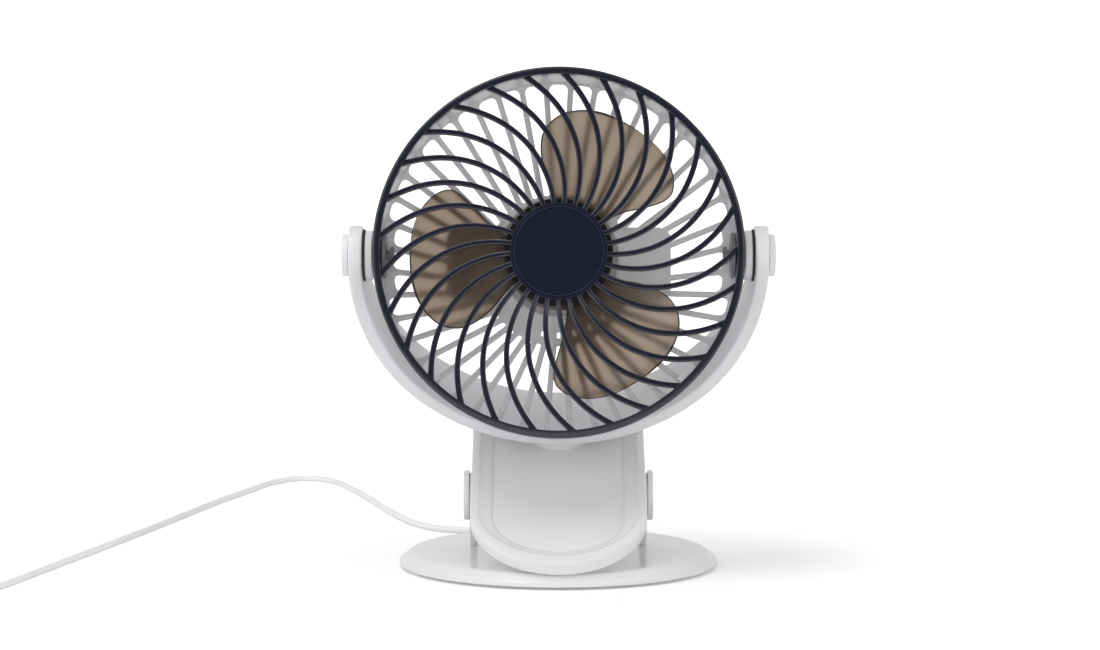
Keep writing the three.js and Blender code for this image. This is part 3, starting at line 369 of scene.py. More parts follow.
def circles(line: Points, side: Points, over: Points, radius: float | Points,
            count: int) -> Points:
    """Circles round the points of a line: point + r (cos a side + sin a over).

    Args:
        line: the circles' middles.
        side: the direction at bearing 0, for all points or for each.
        over: the direction a quarter turn on.
        radius: one radius or one for each point.
        count: points in a circle.

    Returns:
        Rows of shape (points of the line, count, 3).
    """
    angle = bearings(count)[None, :, None]
    reach = np.broadcast_to(np.asarray(radius, float), (len(line),))[:, None, None]
    return line[:, None] + reach * (np.cos(angle) * side[:, None] + np.sin(angle) * over[:, None])


def tube(line: Points, radius: float, count: int, across: Points = UP) -> Skin:
    """Round tube along a line, its side square to the line and to one fixed direction.

    Args:
        line: the middle line.
        radius: the tube's radius.
        count: points round it.
        across: a direction that the line never takes.

    Returns:
        The skin.
    """
    ahead = unit(np.gradient(line, axis=0))
    side = unit(np.cross(ahead, across))
    return loft(circles(line, side, np.cross(side, ahead), radius, count))


def signed_volume(points: Points, faces: list[Points]) -> float:
    """Six times the volume inside a skin: the sum of a . (b x c) over its triangles.

    Args:
        points: the skin's points.
        faces: its groups of triangles and quads.

    Returns:
        The sum, which is negative where the faces point inwards.
    """
    total = 0.0
    for group in faces:
        a, b, c = points[group[:, 0]], points[group[:, 1]], points[group[:, 2]]
        total += float(np.einsum("ij,ij->", a, np.cross(b, c)))
        if group.shape[1] == 4:
            total += float(np.einsum("ij,ij->", a, np.cross(c, points[group[:, 3]])))
    return total


def link_object(name: str, data: bpy.types.ID) -> bpy.types.Object:
    """Make an object of some data, at the origin, and put it in the scene.

    Args:
        name: its name.
        data: its mesh, lamp or camera.

    Returns:
        The object.
    """
    made = bpy.data.objects.new(name, data)
    bpy.context.scene.collection.objects.link(made)
    return made


@dataclass
class Moulding:
    """One piece in the making: closed skins gathered into one mesh.

    Args:
        name: the object's name.
        axes: where its millimetres are drawn.
        sharp: edges that turn more than this many degrees stay sharp.
        points: the skins' points so far, in the frame.
        faces: their faces.
        shades: the number of each face's finish.
        count: how many points there are.
    """

    name: str
    axes: Axes = WORLD
    sharp: float = 32.0
    points: list[Points] = field(default_factory=list)
    faces: list[Points] = field(default_factory=list)
    shades: list[Points] = field(default_factory=list)
    count: int = 0

    def add(self, skin: Skin, shade: int = 0) -> "Moulding":
        """Add a skin, turned over if its faces point inwards.

        Args:
            skin: its points and faces, in local millimetres.
            shade: the number of its finish.

        Returns:
            The moulding itself.
        """
        points, faces = skin
        self.shades += [np.full(len(group), shade) for group in faces]
        placed = self.axes.place(points)
        inwards = signed_volume(placed - placed.mean(axis=0), faces) < 0
        self.points.append(placed)
        self.faces += [(group[:, ::-1] if inwards else group) + self.count for group in faces]
        self.count += len(placed)
        return self

    def mesh(self, weld: bool) -> bpy.types.Mesh:
        """Write the gathered skins into one mesh.

        Args:
            weld: whether touching skins are merged into one.

        Returns:
            The mesh, smooth but for its sharp edges.
        """
        mesh = bpy.data.meshes.new(self.name)
        points = np.vstack(self.points)
        loops = np.concatenate([group.ravel() for group in self.faces])
        sizes = np.concatenate([np.full(len(group), group.shape[1]) for group in self.faces])
        mesh.vertices.add(len(points))
        mesh.vertices.foreach_set("co", points.astype(np.float32).ravel())
        mesh.loops.add(len(loops))
        mesh.loops.foreach_set("vertex_index", loops.astype(np.int32))
        mesh.polygons.add(len(sizes))
        mesh.polygons.foreach_set("loop_start", np.r_[0, np.cumsum(sizes)[:-1]].astype(np.int32))
        mesh.polygons.foreach_set("material_index", np.concatenate(self.shades).astype(np.int32))
        mesh.update(calc_edges=True)
        mesh.validate()
        if weld:
            shell = bmesh.new()
            shell.from_mesh(mesh)
            bmesh.ops.remove_doubles(shell, verts=shell.verts, dist=WELD_GAP)
            shell.to_mesh(mesh)
            shell.free()
        mesh.shade_smooth()
        mesh.set_sharp_from_angle(angle=math.radians(self.sharp))
        return mesh

    def make(self, body: str, finish: "Finish | tuple[Finish, ...]", *replaces: str,
             weld: bool = False) -> bpy.types.Object:
        """Make the object, dress it and let it ride.

        Args:
            body: the CAD body it moves with.
            finish: its finish, or one for each shade.
            replaces: the CAD nodes that it stands for.
            weld: whether touching skins are merged into one.

        Returns:
            The new object.
        """
        finishes = finish if isinstance(finish, tuple) else (finish,)
        made = link_object(self.name, self.mesh(weld))
        for one in finishes:
            made.data.materials.append(one.material())
        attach(made, body)
        if replaces:
            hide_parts(*replaces)
        LOG.info("%s: %d faces on %s", self.name, len(made.data.polygons), body)
        return made


# ------------------------------------------------------------------ shader nodes


Socket = bpy.types.NodeSocket
Tree = bpy.types.NodeTree
Value = float | bpy.types.NodeSocket
WHITE_LIGHT = (1.0, 1.0, 1.0, 1.0)


def feed(tree: Tree, value: Value | tuple, socket: Socket) -> None:
    """Link a socket to another, or set it to a plain value.

    Args:
        tree: the tree that both are in.
        value: the socket or value to take.
        socket: the input that takes it.
    """
    if isinstance(value, Socket):
        tree.links.new(value, socket)
    else:
        socket.default_value = value


def noise(tree: Tree, scale: Value, detail: float, vector: Socket) -> Socket:
    """Add a noise texture.

    Args:
        tree: the tree it goes into.
        scale: how often it repeats in a metre.
        detail: its octaves.
        vector: where it is read.

    Returns:
        The noise's value.
    """
    node = tree.nodes.new("ShaderNodeTexNoise")
    node.inputs["Detail"].default_value = detail
    feed(tree, vector, node.inputs["Vector"])
    feed(tree, scale, node.inputs["Scale"])
    return node.outputs[0]


def calculate(tree: Tree, operation: str, *terms: Value) -> Socket:
    """Add a Math node.

    Args:
        tree: the tree it goes into.
        operation: the node's operation.
        terms: numbers or sockets.

    Returns:
        The result.
    """
    node = tree.nodes.new("ShaderNodeMath")
    node.operation = operation
    for socket, term in zip(node.inputs, terms):
        feed(tree, term, socket)
    return node.outputs[0]


def stretched(tree: Tree, value: Socket, gain: Value, offset: Value) -> Socket:
    """Work out gain x value + offset."""
    return calculate(tree, "ADD", calculate(tree, "MULTIPLY", value, gain), offset)


def object_place(tree: Tree) -> Socket:
    """Add a Texture Coordinate node and return its Object output."""
    return tree.nodes.new("ShaderNodeTexCoord").outputs["Object"]


def tinted(tree: Tree, colour: Socket | tuple[float, ...], factor: Socket) -> Socket:
    """Multiply a colour by a grey factor.

    Args:
        tree: the tree the node goes into.
        colour: a socket or three numbers.
        factor: the factor.

    Returns:
        The product.
    """
    node = tree.nodes.new("ShaderNodeVectorMath")
    node.operation = "SCALE"
    feed(tree, colour, node.inputs[0])
    feed(tree, factor, node.inputs["Scale"])
    return node.outputs[0]


def mapped(tree: Tree, value: Socket, source: tuple[float, float], target: tuple[float, float],
           kind: str = "LINEAR") -> Socket:
    """Map a value's range to another, held at both ends.

    Args:
        tree: the tree the node goes into.
        value: what is mapped.
        source: the range it comes from.
        target: the range it goes to.
        kind: the node's interpolation.

    Returns:
        The mapped value.
    """
    node = tree.nodes.new("ShaderNodeMapRange")
    node.interpolation_type = kind
    for name, number in zip(("From Min", "From Max", "To Min", "To Max"), (*source, *target)):
        node.inputs[name].default_value = number
    feed(tree, value, node.inputs["Value"])
    return node.outputs["Result"]


def let_through(tree: Tree, shader: bpy.types.Node, share: Socket, colour: tuple) -> None:
    """Mix a shader with a transparent one and feed the material's output.

    Args:
        tree: the material's tree.
        shader: the solid shader.
        share: how much of the transparent one shows.
        colour: what the transparent one lets pass.
    """
    clear = tree.nodes.new("ShaderNodeBsdfTransparent")
    clear.inputs["Color"].default_value = colour
    mix = tree.nodes.new("ShaderNodeMixShader")
    for number, socket in enumerate((share, shader.outputs[0], clear.outputs[0])):
        feed(tree, socket, mix.inputs[number])
    feed(tree, mix.outputs[0], tree.nodes["Material Output"].inputs["Surface"])


def new_group(name: str, inputs: dict[str, object], outputs: tuple[str, ...]) -> tuple:
    """Start a shader node group; a socket named Color is a colour, and any other a float.

    Args:
        name: the group's name.
        inputs: each input and its default.
        outputs: each output.

    Returns:
        The group, its input node and its output node.
    """
    def kind(title: str) -> str:
        """The socket type that a title asks for."""
        return "NodeSocketColor" if title == "Color" else "NodeSocketFloat"

    group = bpy.data.node_groups.new(name, "ShaderNodeTree")
    for title, value in inputs.items():
        socket = group.interface.new_socket(name=title, in_out="INPUT", socket_type=kind(title))
        socket.default_value = value
    for title in outputs:
        group.interface.new_socket(name=title, in_out="OUTPUT", socket_type=kind(title))
    return group, group.nodes.new("NodeGroupInput"), group.nodes.new("NodeGroupOutput")


def build_moulded_skin() -> Tree:
    """Group for moulded plastic: cloudy tone, fine spark-eroded grain and faint sink waves.

    Tone is 1 + variation (cloud - 0.5), roughness is base + spread (smudge - 0.5), and height is
    grain depth x fine noise + wave depth x broad noise, both in metres.

    Returns:
        The group.
    """
    group, given, result = new_group(
        "moulded_skin",
        {"Color": (0.8, 0.8, 0.8, 1.0), "Tone Spread": 0.04, "Roughness": 0.3,
         "Roughness Spread": 0.08, "Grain Scale": 3500.0, "Grain Depth": 4e-6, "Wave Depth": 3e-5},
        ("Color", "Roughness", "Height"))
    asked, answer = given.outputs, result.inputs
    place = object_place(group)
    cloud, smudge = noise(group, 35.0, 3.0, place), noise(group, 90.0, 4.0, place)
    grain, wave = noise(group, asked["Grain Scale"], 2.0, place), noise(group, 28.0, 1.0, place)
    centred_cloud = calculate(group, "SUBTRACT", cloud, 0.5)
    tone = stretched(group, centred_cloud, asked["Tone Spread"], 1.0)
    feed(group, tinted(group, asked["Color"], tone), answer["Color"])
    centred_smudge = calculate(group, "SUBTRACT", smudge, 0.5)
    rough = stretched(group, centred_smudge, asked["Roughness Spread"], asked["Roughness"])
    feed(group, rough, answer["Roughness"])
    broad = calculate(group, "MULTIPLY", wave, asked["Wave Depth"])
    feed(group, stretched(group, grain, asked["Grain Depth"], broad), answer["Height"])
    return group


def build_fine_dust() -> Tree:
    """Group for a faint film of dust: a mask of sparse specks times a broad cloud.

    Returns:
        The group.
    """
    group, given, result = new_group("fine_dust", {"Amount": 0.1}, ("Mask",))
    speck_threshold, speck_gain = 0.62, 6.0
    place = object_place(group)
    specks, cloud = noise(group, 2600.0, 1.0, place), noise(group, 22.0, 2.0, place)
    sparse = calculate(group, "SUBTRACT", specks, speck_threshold)
    strong = calculate(group, "MULTIPLY", calculate(group, "MAXIMUM", sparse, 0.0), speck_gain)
    patchy = calculate(group, "MULTIPLY", strong, cloud)
    mask = calculate(group, "MULTIPLY", patchy, given.outputs["Amount"])
    feed(group, mask, result.inputs["Mask"])
    return group


GROUP_BUILDERS = {"moulded_skin": build_moulded_skin, "fine_dust": build_fine_dust}
GROUPS: dict[str, Tree] = {}


def place_group(tree: Tree, name: str, **values: object) -> bpy.types.Node:
    """Place a shared group in a material and set its inputs.

    Args:
        tree: the material's tree.
        name: the group's name.
        values: the inputs; underscores in their names stand for spaces.

    Returns:
        The group's node.
    """
    if name not in GROUPS:
        GROUPS[name] = GROUP_BUILDERS[name]()
    node = tree.nodes.new("ShaderNodeGroup")
    node.node_tree = GROUPS[name]
    for key, value in values.items():
        node.inputs[key.replace("_", " ")].default_value = value
    return node


# ------------------------------------------------------------------ finishes


class Slot(Enum):
    """The record's material slots."""

    WHITE = "white_plastic"
    NAVY = "navy_plastic"
    SMOKY = "smoky_plastic"
    BLACK = "black_rubber"
    GREY = "grey_plastic"
    STEEL = "steel"
    CELL = "cell_wrap"
    CIRCUIT = "circuit_green"
    CORD = "cord_white"


@dataclass(frozen=True)
class Finish:
    """A surface finish, made into a material once.

    Args:
        name: the material's name.
        slot: the record's slot that it dresses; not used.
        colour: linear base colour.
        roughness: microsurface roughness.
    """

    name: str
    slot: Slot
    colour: tuple[float, float, float]
    roughness: float

    def material(self) -> bpy.types.Material:
        """Make the finish's material, or find it if it is made.

        Returns:
            The material.
        """
        found = bpy.data.materials.get(self.name)
        if found is not None:
            return found
        made = bpy.data.materials.new(self.name)
        made.use_nodes = True
        shader = made.node_tree.nodes["Principled BSDF"]
        shader.inputs["Base Color"].default_value = (*self.colour, 1.0)
        shader.inputs["Roughness"].default_value = self.roughness
        self.dress(made.node_tree, shader)
        return made

    def dress(self, tree: Tree, shader: bpy.types.Node) -> None:
        """Add the finish's own nodes; the plain one has none."""

    def surface(self, tree: Tree, shader: bpy.types.Node, colour: Socket, rough: Value,
                height: Socket) -> None:
        """Feed the shader's colour, roughness and normal.

        Args:
            tree: the material's tree.
            shader: its Principled BSDF.
            colour: the base colour.
            rough: the roughness.
            height: a height in metres for the bump.
        """
        feed(tree, colour, shader.inputs["Base Color"])
        feed(tree, rough, shader.inputs["Roughness"])
        node = tree.nodes.new("ShaderNodeBump")
        node.inputs["Distance"].default_value = 1.0
        node.inputs["Strength"].default_value = 1.0
        feed(tree, height, node.inputs["Height"])
        feed(tree, node.outputs["Normal"], shader.inputs["Normal"])


@dataclass(frozen=True)
class Plastic(Finish):
    """Moulded plastic with a fine grain and slight cloudiness.

    Args:
        tone_spread: how much its tone wanders.
        roughness_spread: how much its roughness wanders.
        grain_scale: the grain's fineness.
        grain_depth: the grain's depth in metres.
        wave_depth: the sink waves' depth in metres.
        dust: how much dust lies on it.
        coat: weight of a clear gloss over it.
        sheen: level of its specular reflection.
    """

    tone_spread: float = 0.03
    roughness_spread: float = 0.1
    grain_scale: float = 3500.0
    grain_depth: float = 2e-6
    wave_depth: float = 2e-5
    dust: float = 0.0
    coat: float = 0.0
    sheen: float = 0.5

    def dress(self, tree: Tree, shader: bpy.types.Node) -> None:
        """Join the moulded skin group, and the dust if there is any, to the shader.

        Args:
            tree: the material's tree.
            shader: its Principled BSDF.
        """
        skin = place_group(
            tree, "moulded_skin", Color=(*self.colour, 1.0), Tone_Spread=self.tone_spread,
            Roughness=self.roughness, Roughness_Spread=self.roughness_spread,
            Grain_Scale=self.grain_scale, Grain_Depth=self.grain_depth, Wave_Depth=self.wave_depth)
        colour, rough = skin.outputs["Color"], skin.outputs["Roughness"]
        if self.dust:
            colour, rough = self.dusted(tree, colour, rough)
        for name, value in (("Coat Weight", self.coat), ("Coat Roughness", 0.08),
                            ("Specular IOR Level", self.sheen), ("IOR", 1.5)):
            shader.inputs[name].default_value = value
        self.surface(tree, shader, colour, rough, skin.outputs["Height"])

    def dusted(self, tree: Tree, colour: Socket, rough: Socket) -> tuple[Socket, Socket]:
        """Lay dust on a surface: grey and rougher where the mask is.

        Args:
            tree: the material's tree.
            colour: the clean colour.
            rough: the clean roughness.

        Returns:
            The dusty colour and roughness.
        """
        dust_grey, dust_roughness = (0.5, 0.5, 0.52, 1.0), 0.6
        mask = place_group(tree, "fine_dust", Amount=self.dust).outputs["Mask"]
        mix = tree.nodes.new("ShaderNodeMix")
        mix.data_type = "RGBA"
        feed(tree, mask, mix.inputs["Factor"])
        feed(tree, colour, mix.inputs[6])
        feed(tree, dust_grey, mix.inputs[7])
        return mix.outputs[2], stretched(tree, mask, dust_roughness, rough)


@dataclass(frozen=True)
class Smoky(Finish):
    """See-through smoky plastic; its colour is what is left of light that passes one wall.

    Args:
        through: what each face lets pass of a lamp's direct light.
    """

    through: tuple[float, float, float] = (0.82, 0.78, 0.74)

    def dress(self, tree: Tree, shader: bpy.types.Node) -> None:
        """Set plain transmission, add faint flow lines and let lamps shine through.

        Args:
            tree: the material's tree.
            shader: its Principled BSDF.
        """
        shader.inputs["Transmission Weight"].default_value = 1.0
        shader.inputs["IOR"].default_value = 1.45
        streaks = noise(tree, 60.0, 3.0, object_place(tree))
        colour = tinted(tree, self.colour, stretched(tree, streaks, 0.12, 0.94))
        self.surface(tree, shader, colour, stretched(tree, streaks, 0.06, self.roughness),
                     calculate(tree, "MULTIPLY", streaks, 6e-5))
        shadow = tree.nodes.new("ShaderNodeLightPath").outputs["Is Shadow Ray"]
        let_through(tree, shader, shadow, (*self.through, 1.0))


@dataclass(frozen=True)
class Metal(Finish):
    """Bright or plated metal with fine turning marks.

    Args:
        marks: the marks' fineness.
    """

    marks: float = 900.0

    def dress(self, tree: Tree, shader: bpy.types.Node) -> None:
        """Set it metallic and let fine noise stretch its roughness.

        Args:
            tree: the material's tree.
            shader: its Principled BSDF.
        """
        shader.inputs["Metallic"].default_value = 1.0
        place = object_place(tree)
        fine, broad = noise(tree, self.marks, 3.0, place), noise(tree, 60.0, 2.0, place)
        colour = tinted(tree, self.colour, stretched(tree, broad, 0.16, 0.92))
        self.surface(tree, shader, colour, stretched(tree, fine, 0.16, self.roughness - 0.08),
                     calculate(tree, "MULTIPLY", fine, 3e-6))


@dataclass(frozen=True)
class Board(Finish):
    """Printed circuit board: copper runs show through green lacquer as a grid.

    Args:
        lighter: the colour of every other run.
        copper: the colour of the lines between them.
    """

    lighter: tuple[float, float, float] = (0.03, 0.16, 0.07)
    copper: tuple[float, float, float] = (0.05, 0.22, 0.1)

    def dress(self, tree: Tree, shader: bpy.types.Node) -> None:
        """Mix the greens by a brick pattern.

        Args:
            tree: the material's tree.
            shader: its Principled BSDF.
        """
        bricks = tree.nodes.new("ShaderNodeTexBrick")
        bricks.inputs["Scale"].default_value = 400.0
        for name, colour in (("Color1", self.colour), ("Color2", self.lighter),
                             ("Mortar", self.copper)):
            bricks.inputs[name].default_value = (*colour, 1.0)
        feed(tree, object_place(tree), bricks.inputs["Vector"])
        self.surface(tree, shader, bricks.outputs["Color"], self.roughness,
                     calculate(tree, "MULTIPLY", bricks.outputs["Fac"], 2e-5))


WHITE = Plastic("white_moulding", Slot.WHITE, (0.83, 0.822, 0.845), 0.30, dust=0.04)
# Painted light: a lighter tone than the white moulding, set to lift the parts it dresses out of the
# shade they lie in; its clear coat is the real gloss.
WHITE_GLOSS_PAINTED_LIGHT = Plastic("white_gloss_painted_light", Slot.WHITE, (0.87, 0.855, 0.87), 0.24,
                      coat=0.25, wave_depth=4e-5)
NAVY = Plastic("navy_moulding", Slot.NAVY, (0.0065, 0.0085, 0.021), 0.22, tone_spread=0.12,
               dust=0.05, sheen=0.85)
# Painted highlight: a lighter navy for thin rings that stand in for the light caught on the hub's
# edges.
NAVY_PAINTED_HIGHLIGHT = Plastic("navy_painted_highlight", Slot.NAVY, (0.028, 0.032, 0.055), 0.3, tone_spread=0.3)
NAVY_CAP = Plastic("navy_matt_cap", Slot.NAVY, (0.0078, 0.010, 0.0265), 0.5, tone_spread=0.1,
                   grain_scale=2600.0, grain_depth=1.2e-5, dust=0.05, sheen=0.1)
SMOKY = Smoky("smoky_blade", Slot.SMOKY, (0.225, 0.176, 0.132), 0.3)
# Painted shade: near-black for the disc on the impeller's hub, standing for shade and the dark
# motor behind it.
SMOKY_HUB_PAINTED_SHADE = Plastic("smoky_hub_painted_shade", Slot.SMOKY, (0.012, 0.009, 0.008), 0.35, tone_spread=0.2)
SMOKY_EDGE = Plastic("smoky_edge", Slot.SMOKY, (0.035, 0.025, 0.018), 0.4, tone_spread=0.3)
RUBBER = Plastic("soft_rubber", Slot.BLACK, (0.03, 0.03, 0.033), 0.75, tone_spread=0.2,
                 grain_depth=1.2e-5, dust=0.8)
PAD_GREY = Plastic("grey_disc", Slot.GREY, (0.22, 0.22, 0.24), 0.45, tone_spread=0.1)
TIE = Plastic("tie_strap", Slot.GREY, (0.06, 0.06, 0.065), 0.6, tone_spread=0.2,
              grain_depth=1e-5)
STEEL = Metal("bright_steel", Slot.STEEL, (0.56, 0.57, 0.59), 0.28)
SPRING_WIRE = Metal("spring_wire", Slot.STEEL, (0.42, 0.42, 0.44), 0.34, marks=1500.0)
CELL = Plastic("cell_sleeve", Slot.CELL, (0.03, 0.16, 0.11), 0.35)
GREEN_BOARD = Board("green_board", Slot.CIRCUIT, (0.02, 0.10, 0.05), 0.4)
JACKET = Plastic("lead_jacket", Slot.CORD, (0.95, 0.95, 0.975), 0.42, tone_spread=0.05,
                 grain_scale=1800.0, grain_depth=8e-6)


# ------------------------------------------------------------------ studio


@dataclass(frozen=True)
class Studio:
    """Camera, pale floor and soft lights.

    Args:
        eye: the camera's place in metres.
        pitch: how far it looks down, in degrees.
        lens: focal length on a 36 mm wide sensor.
        aim: what the lamps point to.
        key_power: the lamp above, in watts.
        left_power: the lamp at the front left.
        right_power: the lamp at the front right.
        low_power: the lamp low in front.
        world_level: the surround's strength.
        dim_level: its strength straight behind the camera.
        dim_from: degrees off that direction at which the dimming starts.
        dim_to: degrees off it at which it is complete.
        near: distance from the foot's middle, and the paper's own light there.
        far: the same further out, where the paper is white.
    """

    eye: tuple[float, float, float] = (-0.0035, -1.287, 0.206)
    pitch: float = 4.7
    lens: float = 101.98
    aim: tuple[float, float, float] = (0.0, 0.0, 0.1)
    key_power: float = 7.0
    left_power: float = 5.5
    right_power: float = 4.675
    low_power: float = 13.0
    world_level: float = 0.65
    dim_level: float = 0.1
    dim_from: float = 56.0
    dim_to: float = 34.0
    near: tuple[float, float] = (0.1, 0.24)
    far: tuple[float, float] = (0.4, 0.8)

    def camera(self) -> None:
        """Make the camera at the photograph's viewing angle."""
        data = bpy.data.cameras.new("camera")
        data.lens = self.lens
        data.sensor_width = 36.0
        data.clip_start = 0.05
        made = link_object("camera", data)
        made.location = self.eye
        made.rotation_euler = (math.radians(90.0 - self.pitch), 0.0, 0.0)
        bpy.context.scene.camera = made

    def floor(self) -> None:
        """Lay a sweep: a level floor, a quarter circle of 0.8 m behind it and a wall."""
        columns, front, bend_at, bend, wall_top = 9, -2.6, 1.2, 0.8, 3.4
        level = np.linspace(front, bend_at, 20)
        turn = np.linspace(0.06, 1.57, 24)
        depth = np.r_[level, bend_at + bend * np.sin(turn), bend_at + bend]
        rise = np.r_[0.0 * level, bend * (1 - np.cos(turn)), wall_top]
        line = np.column_stack([depth, rise])[:, None].repeat(columns, axis=1)
        across = np.linspace(-4.0, 4.0, columns)[None, :, None].repeat(len(depth), axis=0)
        grid = np.concatenate([across, line], axis=-1)
        index = numbered(len(depth), columns)
        corners = [index[:-1, :-1], index[:-1, 1:], index[1:, 1:], index[1:, :-1]]
        mesh = bpy.data.meshes.new("studio_floor")
        mesh.from_pydata(grid.reshape(-1, 3).tolist(), [],
                         np.stack(corners, axis=-1).reshape(-1, 4).tolist())
        mesh.shade_smooth()
        mesh.materials.append(self.paper())
        link_object("studio_floor", mesh)

    def paper(self) -> bpy.types.Material:
        """White paper: diffuse, plus light of its own that only cameras, gloss and glass see.

        A camera behind or under the sweep sees through its back face.

        Returns:
            The material.
        """
        mirrored_share = 0.25
        made = bpy.data.materials.new("studio_paper")
        made.use_nodes = True
        tree = made.node_tree
        shader = tree.nodes["Principled BSDF"]
        for name, value in (("Base Color", (0.96, 0.95, 0.957, 1.0)), ("Roughness", 0.7),
                            ("Specular IOR Level", 0.1), ("Emission Color", WHITE_LIGHT)):
            shader.inputs[name].default_value = value
        path = tree.nodes.new("ShaderNodeLightPath").outputs
        mirrored = calculate(tree, "MULTIPLY", path["Is Glossy Ray"], mirrored_share)
        indirect = calculate(tree, "MAXIMUM", mirrored, path["Is Transmission Ray"])
        seen = calculate(tree, "MAXIMUM", path["Is Camera Ray"], indirect)
        away = tree.nodes.new("ShaderNodeVectorMath")
        away.operation = "LENGTH"
        feed(tree, object_place(tree), away.inputs[0])
        glow = mapped(tree, away.outputs["Value"], *zip(self.near, self.far))
        feed(tree, calculate(tree, "MULTIPLY", seen, glow), shader.inputs["Emission Strength"])
        back = tree.nodes.new("ShaderNodeNewGeometry").outputs["Backfacing"]
        unseen = calculate(tree, "MULTIPLY", path["Is Camera Ray"], back)
        let_through(tree, shader, unseen, WHITE_LIGHT)
        return made

    def lamp(self, name: str, place: tuple[float, float, float], size: float, power: float,
             mirrored: bool = True) -> None:
        """Hang a square soft light and turn it to the fan.

        Args:
            name: its name.
            place: where it hangs, in metres.
            size: its side.
            power: its power in watts.
            mirrored: whether gloss shows it.
        """
        data = bpy.data.lights.new(name, "AREA")
        data.shape = "SQUARE"
        data.size = size
        data.energy = power
        made = link_object(name, data)
        made.visible_glossy = mirrored
        made.location = place
        made.rotation_mode = "QUATERNION"
        made.rotation_quaternion = (Vector(place) - Vector(self.aim)).to_track_quat("Z", "Y")

    def light(self) -> None:
        """Hang the lamps and set the world."""
        self.lamp("key_above", (-0.6, -0.5, 1.5), 1.0, self.key_power)
        self.lamp("front_left", (-1.65, -1.5, 0.9), 1.2, self.left_power)
        self.lamp("front_right", (1.6, -1.6, 0.9), 1.2, self.right_power)
        self.lamp("front_low", (0.0, -2.3, 0.2), 0.9, self.low_power, mirrored=False)
        self.world()

    def world(self) -> None:
        """Pale surround: white to cameras and glass, and dim where the room lies behind the camera.

        The dimming follows how nearly a direction points to the camera's side: full light until
        dim_from degrees off that side, and only dim_level within dim_to degrees.
        """
        world = bpy.data.worlds.new("studio_world")
        world.use_nodes = True
        bpy.context.scene.world = world
        tree = world.node_tree
        back = tree.nodes["Background"]
        back.inputs["Color"].default_value = WHITE_LIGHT
        facing = tree.nodes.new("ShaderNodeVectorMath")
        facing.operation = "DOT_PRODUCT"
        facing.inputs[1].default_value = (0.0, -1.0, 0.0)
        feed(tree, tree.nodes.new("ShaderNodeTexCoord").outputs["Generated"], facing.inputs[0])
        dimming = [math.cos(math.radians(turn)) for turn in (self.dim_from, self.dim_to)]
        level = mapped(tree, facing.outputs["Value"], tuple(dimming),
                       (self.world_level, self.dim_level), "SMOOTHSTEP")
        path = tree.nodes.new("ShaderNodeLightPath").outputs
        seen = calculate(tree, "MAXIMUM", path["Is Camera Ray"], path["Is Transmission Ray"])
        feed(tree, calculate(tree, "MAXIMUM", level, seen), back.inputs["Strength"])


# ------------------------------------------------------------------ lead


def grooves(run: Points, first: float, pitch: float, depth: float, cut: float, steep: float,
            span: tuple[float, float]) -> Points:
    """Ring grooves: depth x smooth((cos(2 pi (run - first) / pitch) - cut) steep), in a span."""
    wave = smooth((np.cos(TAU * (run - first) / pitch) - cut) * steep)
    return depth * wave * (run > span[0]) * (run < span[1])


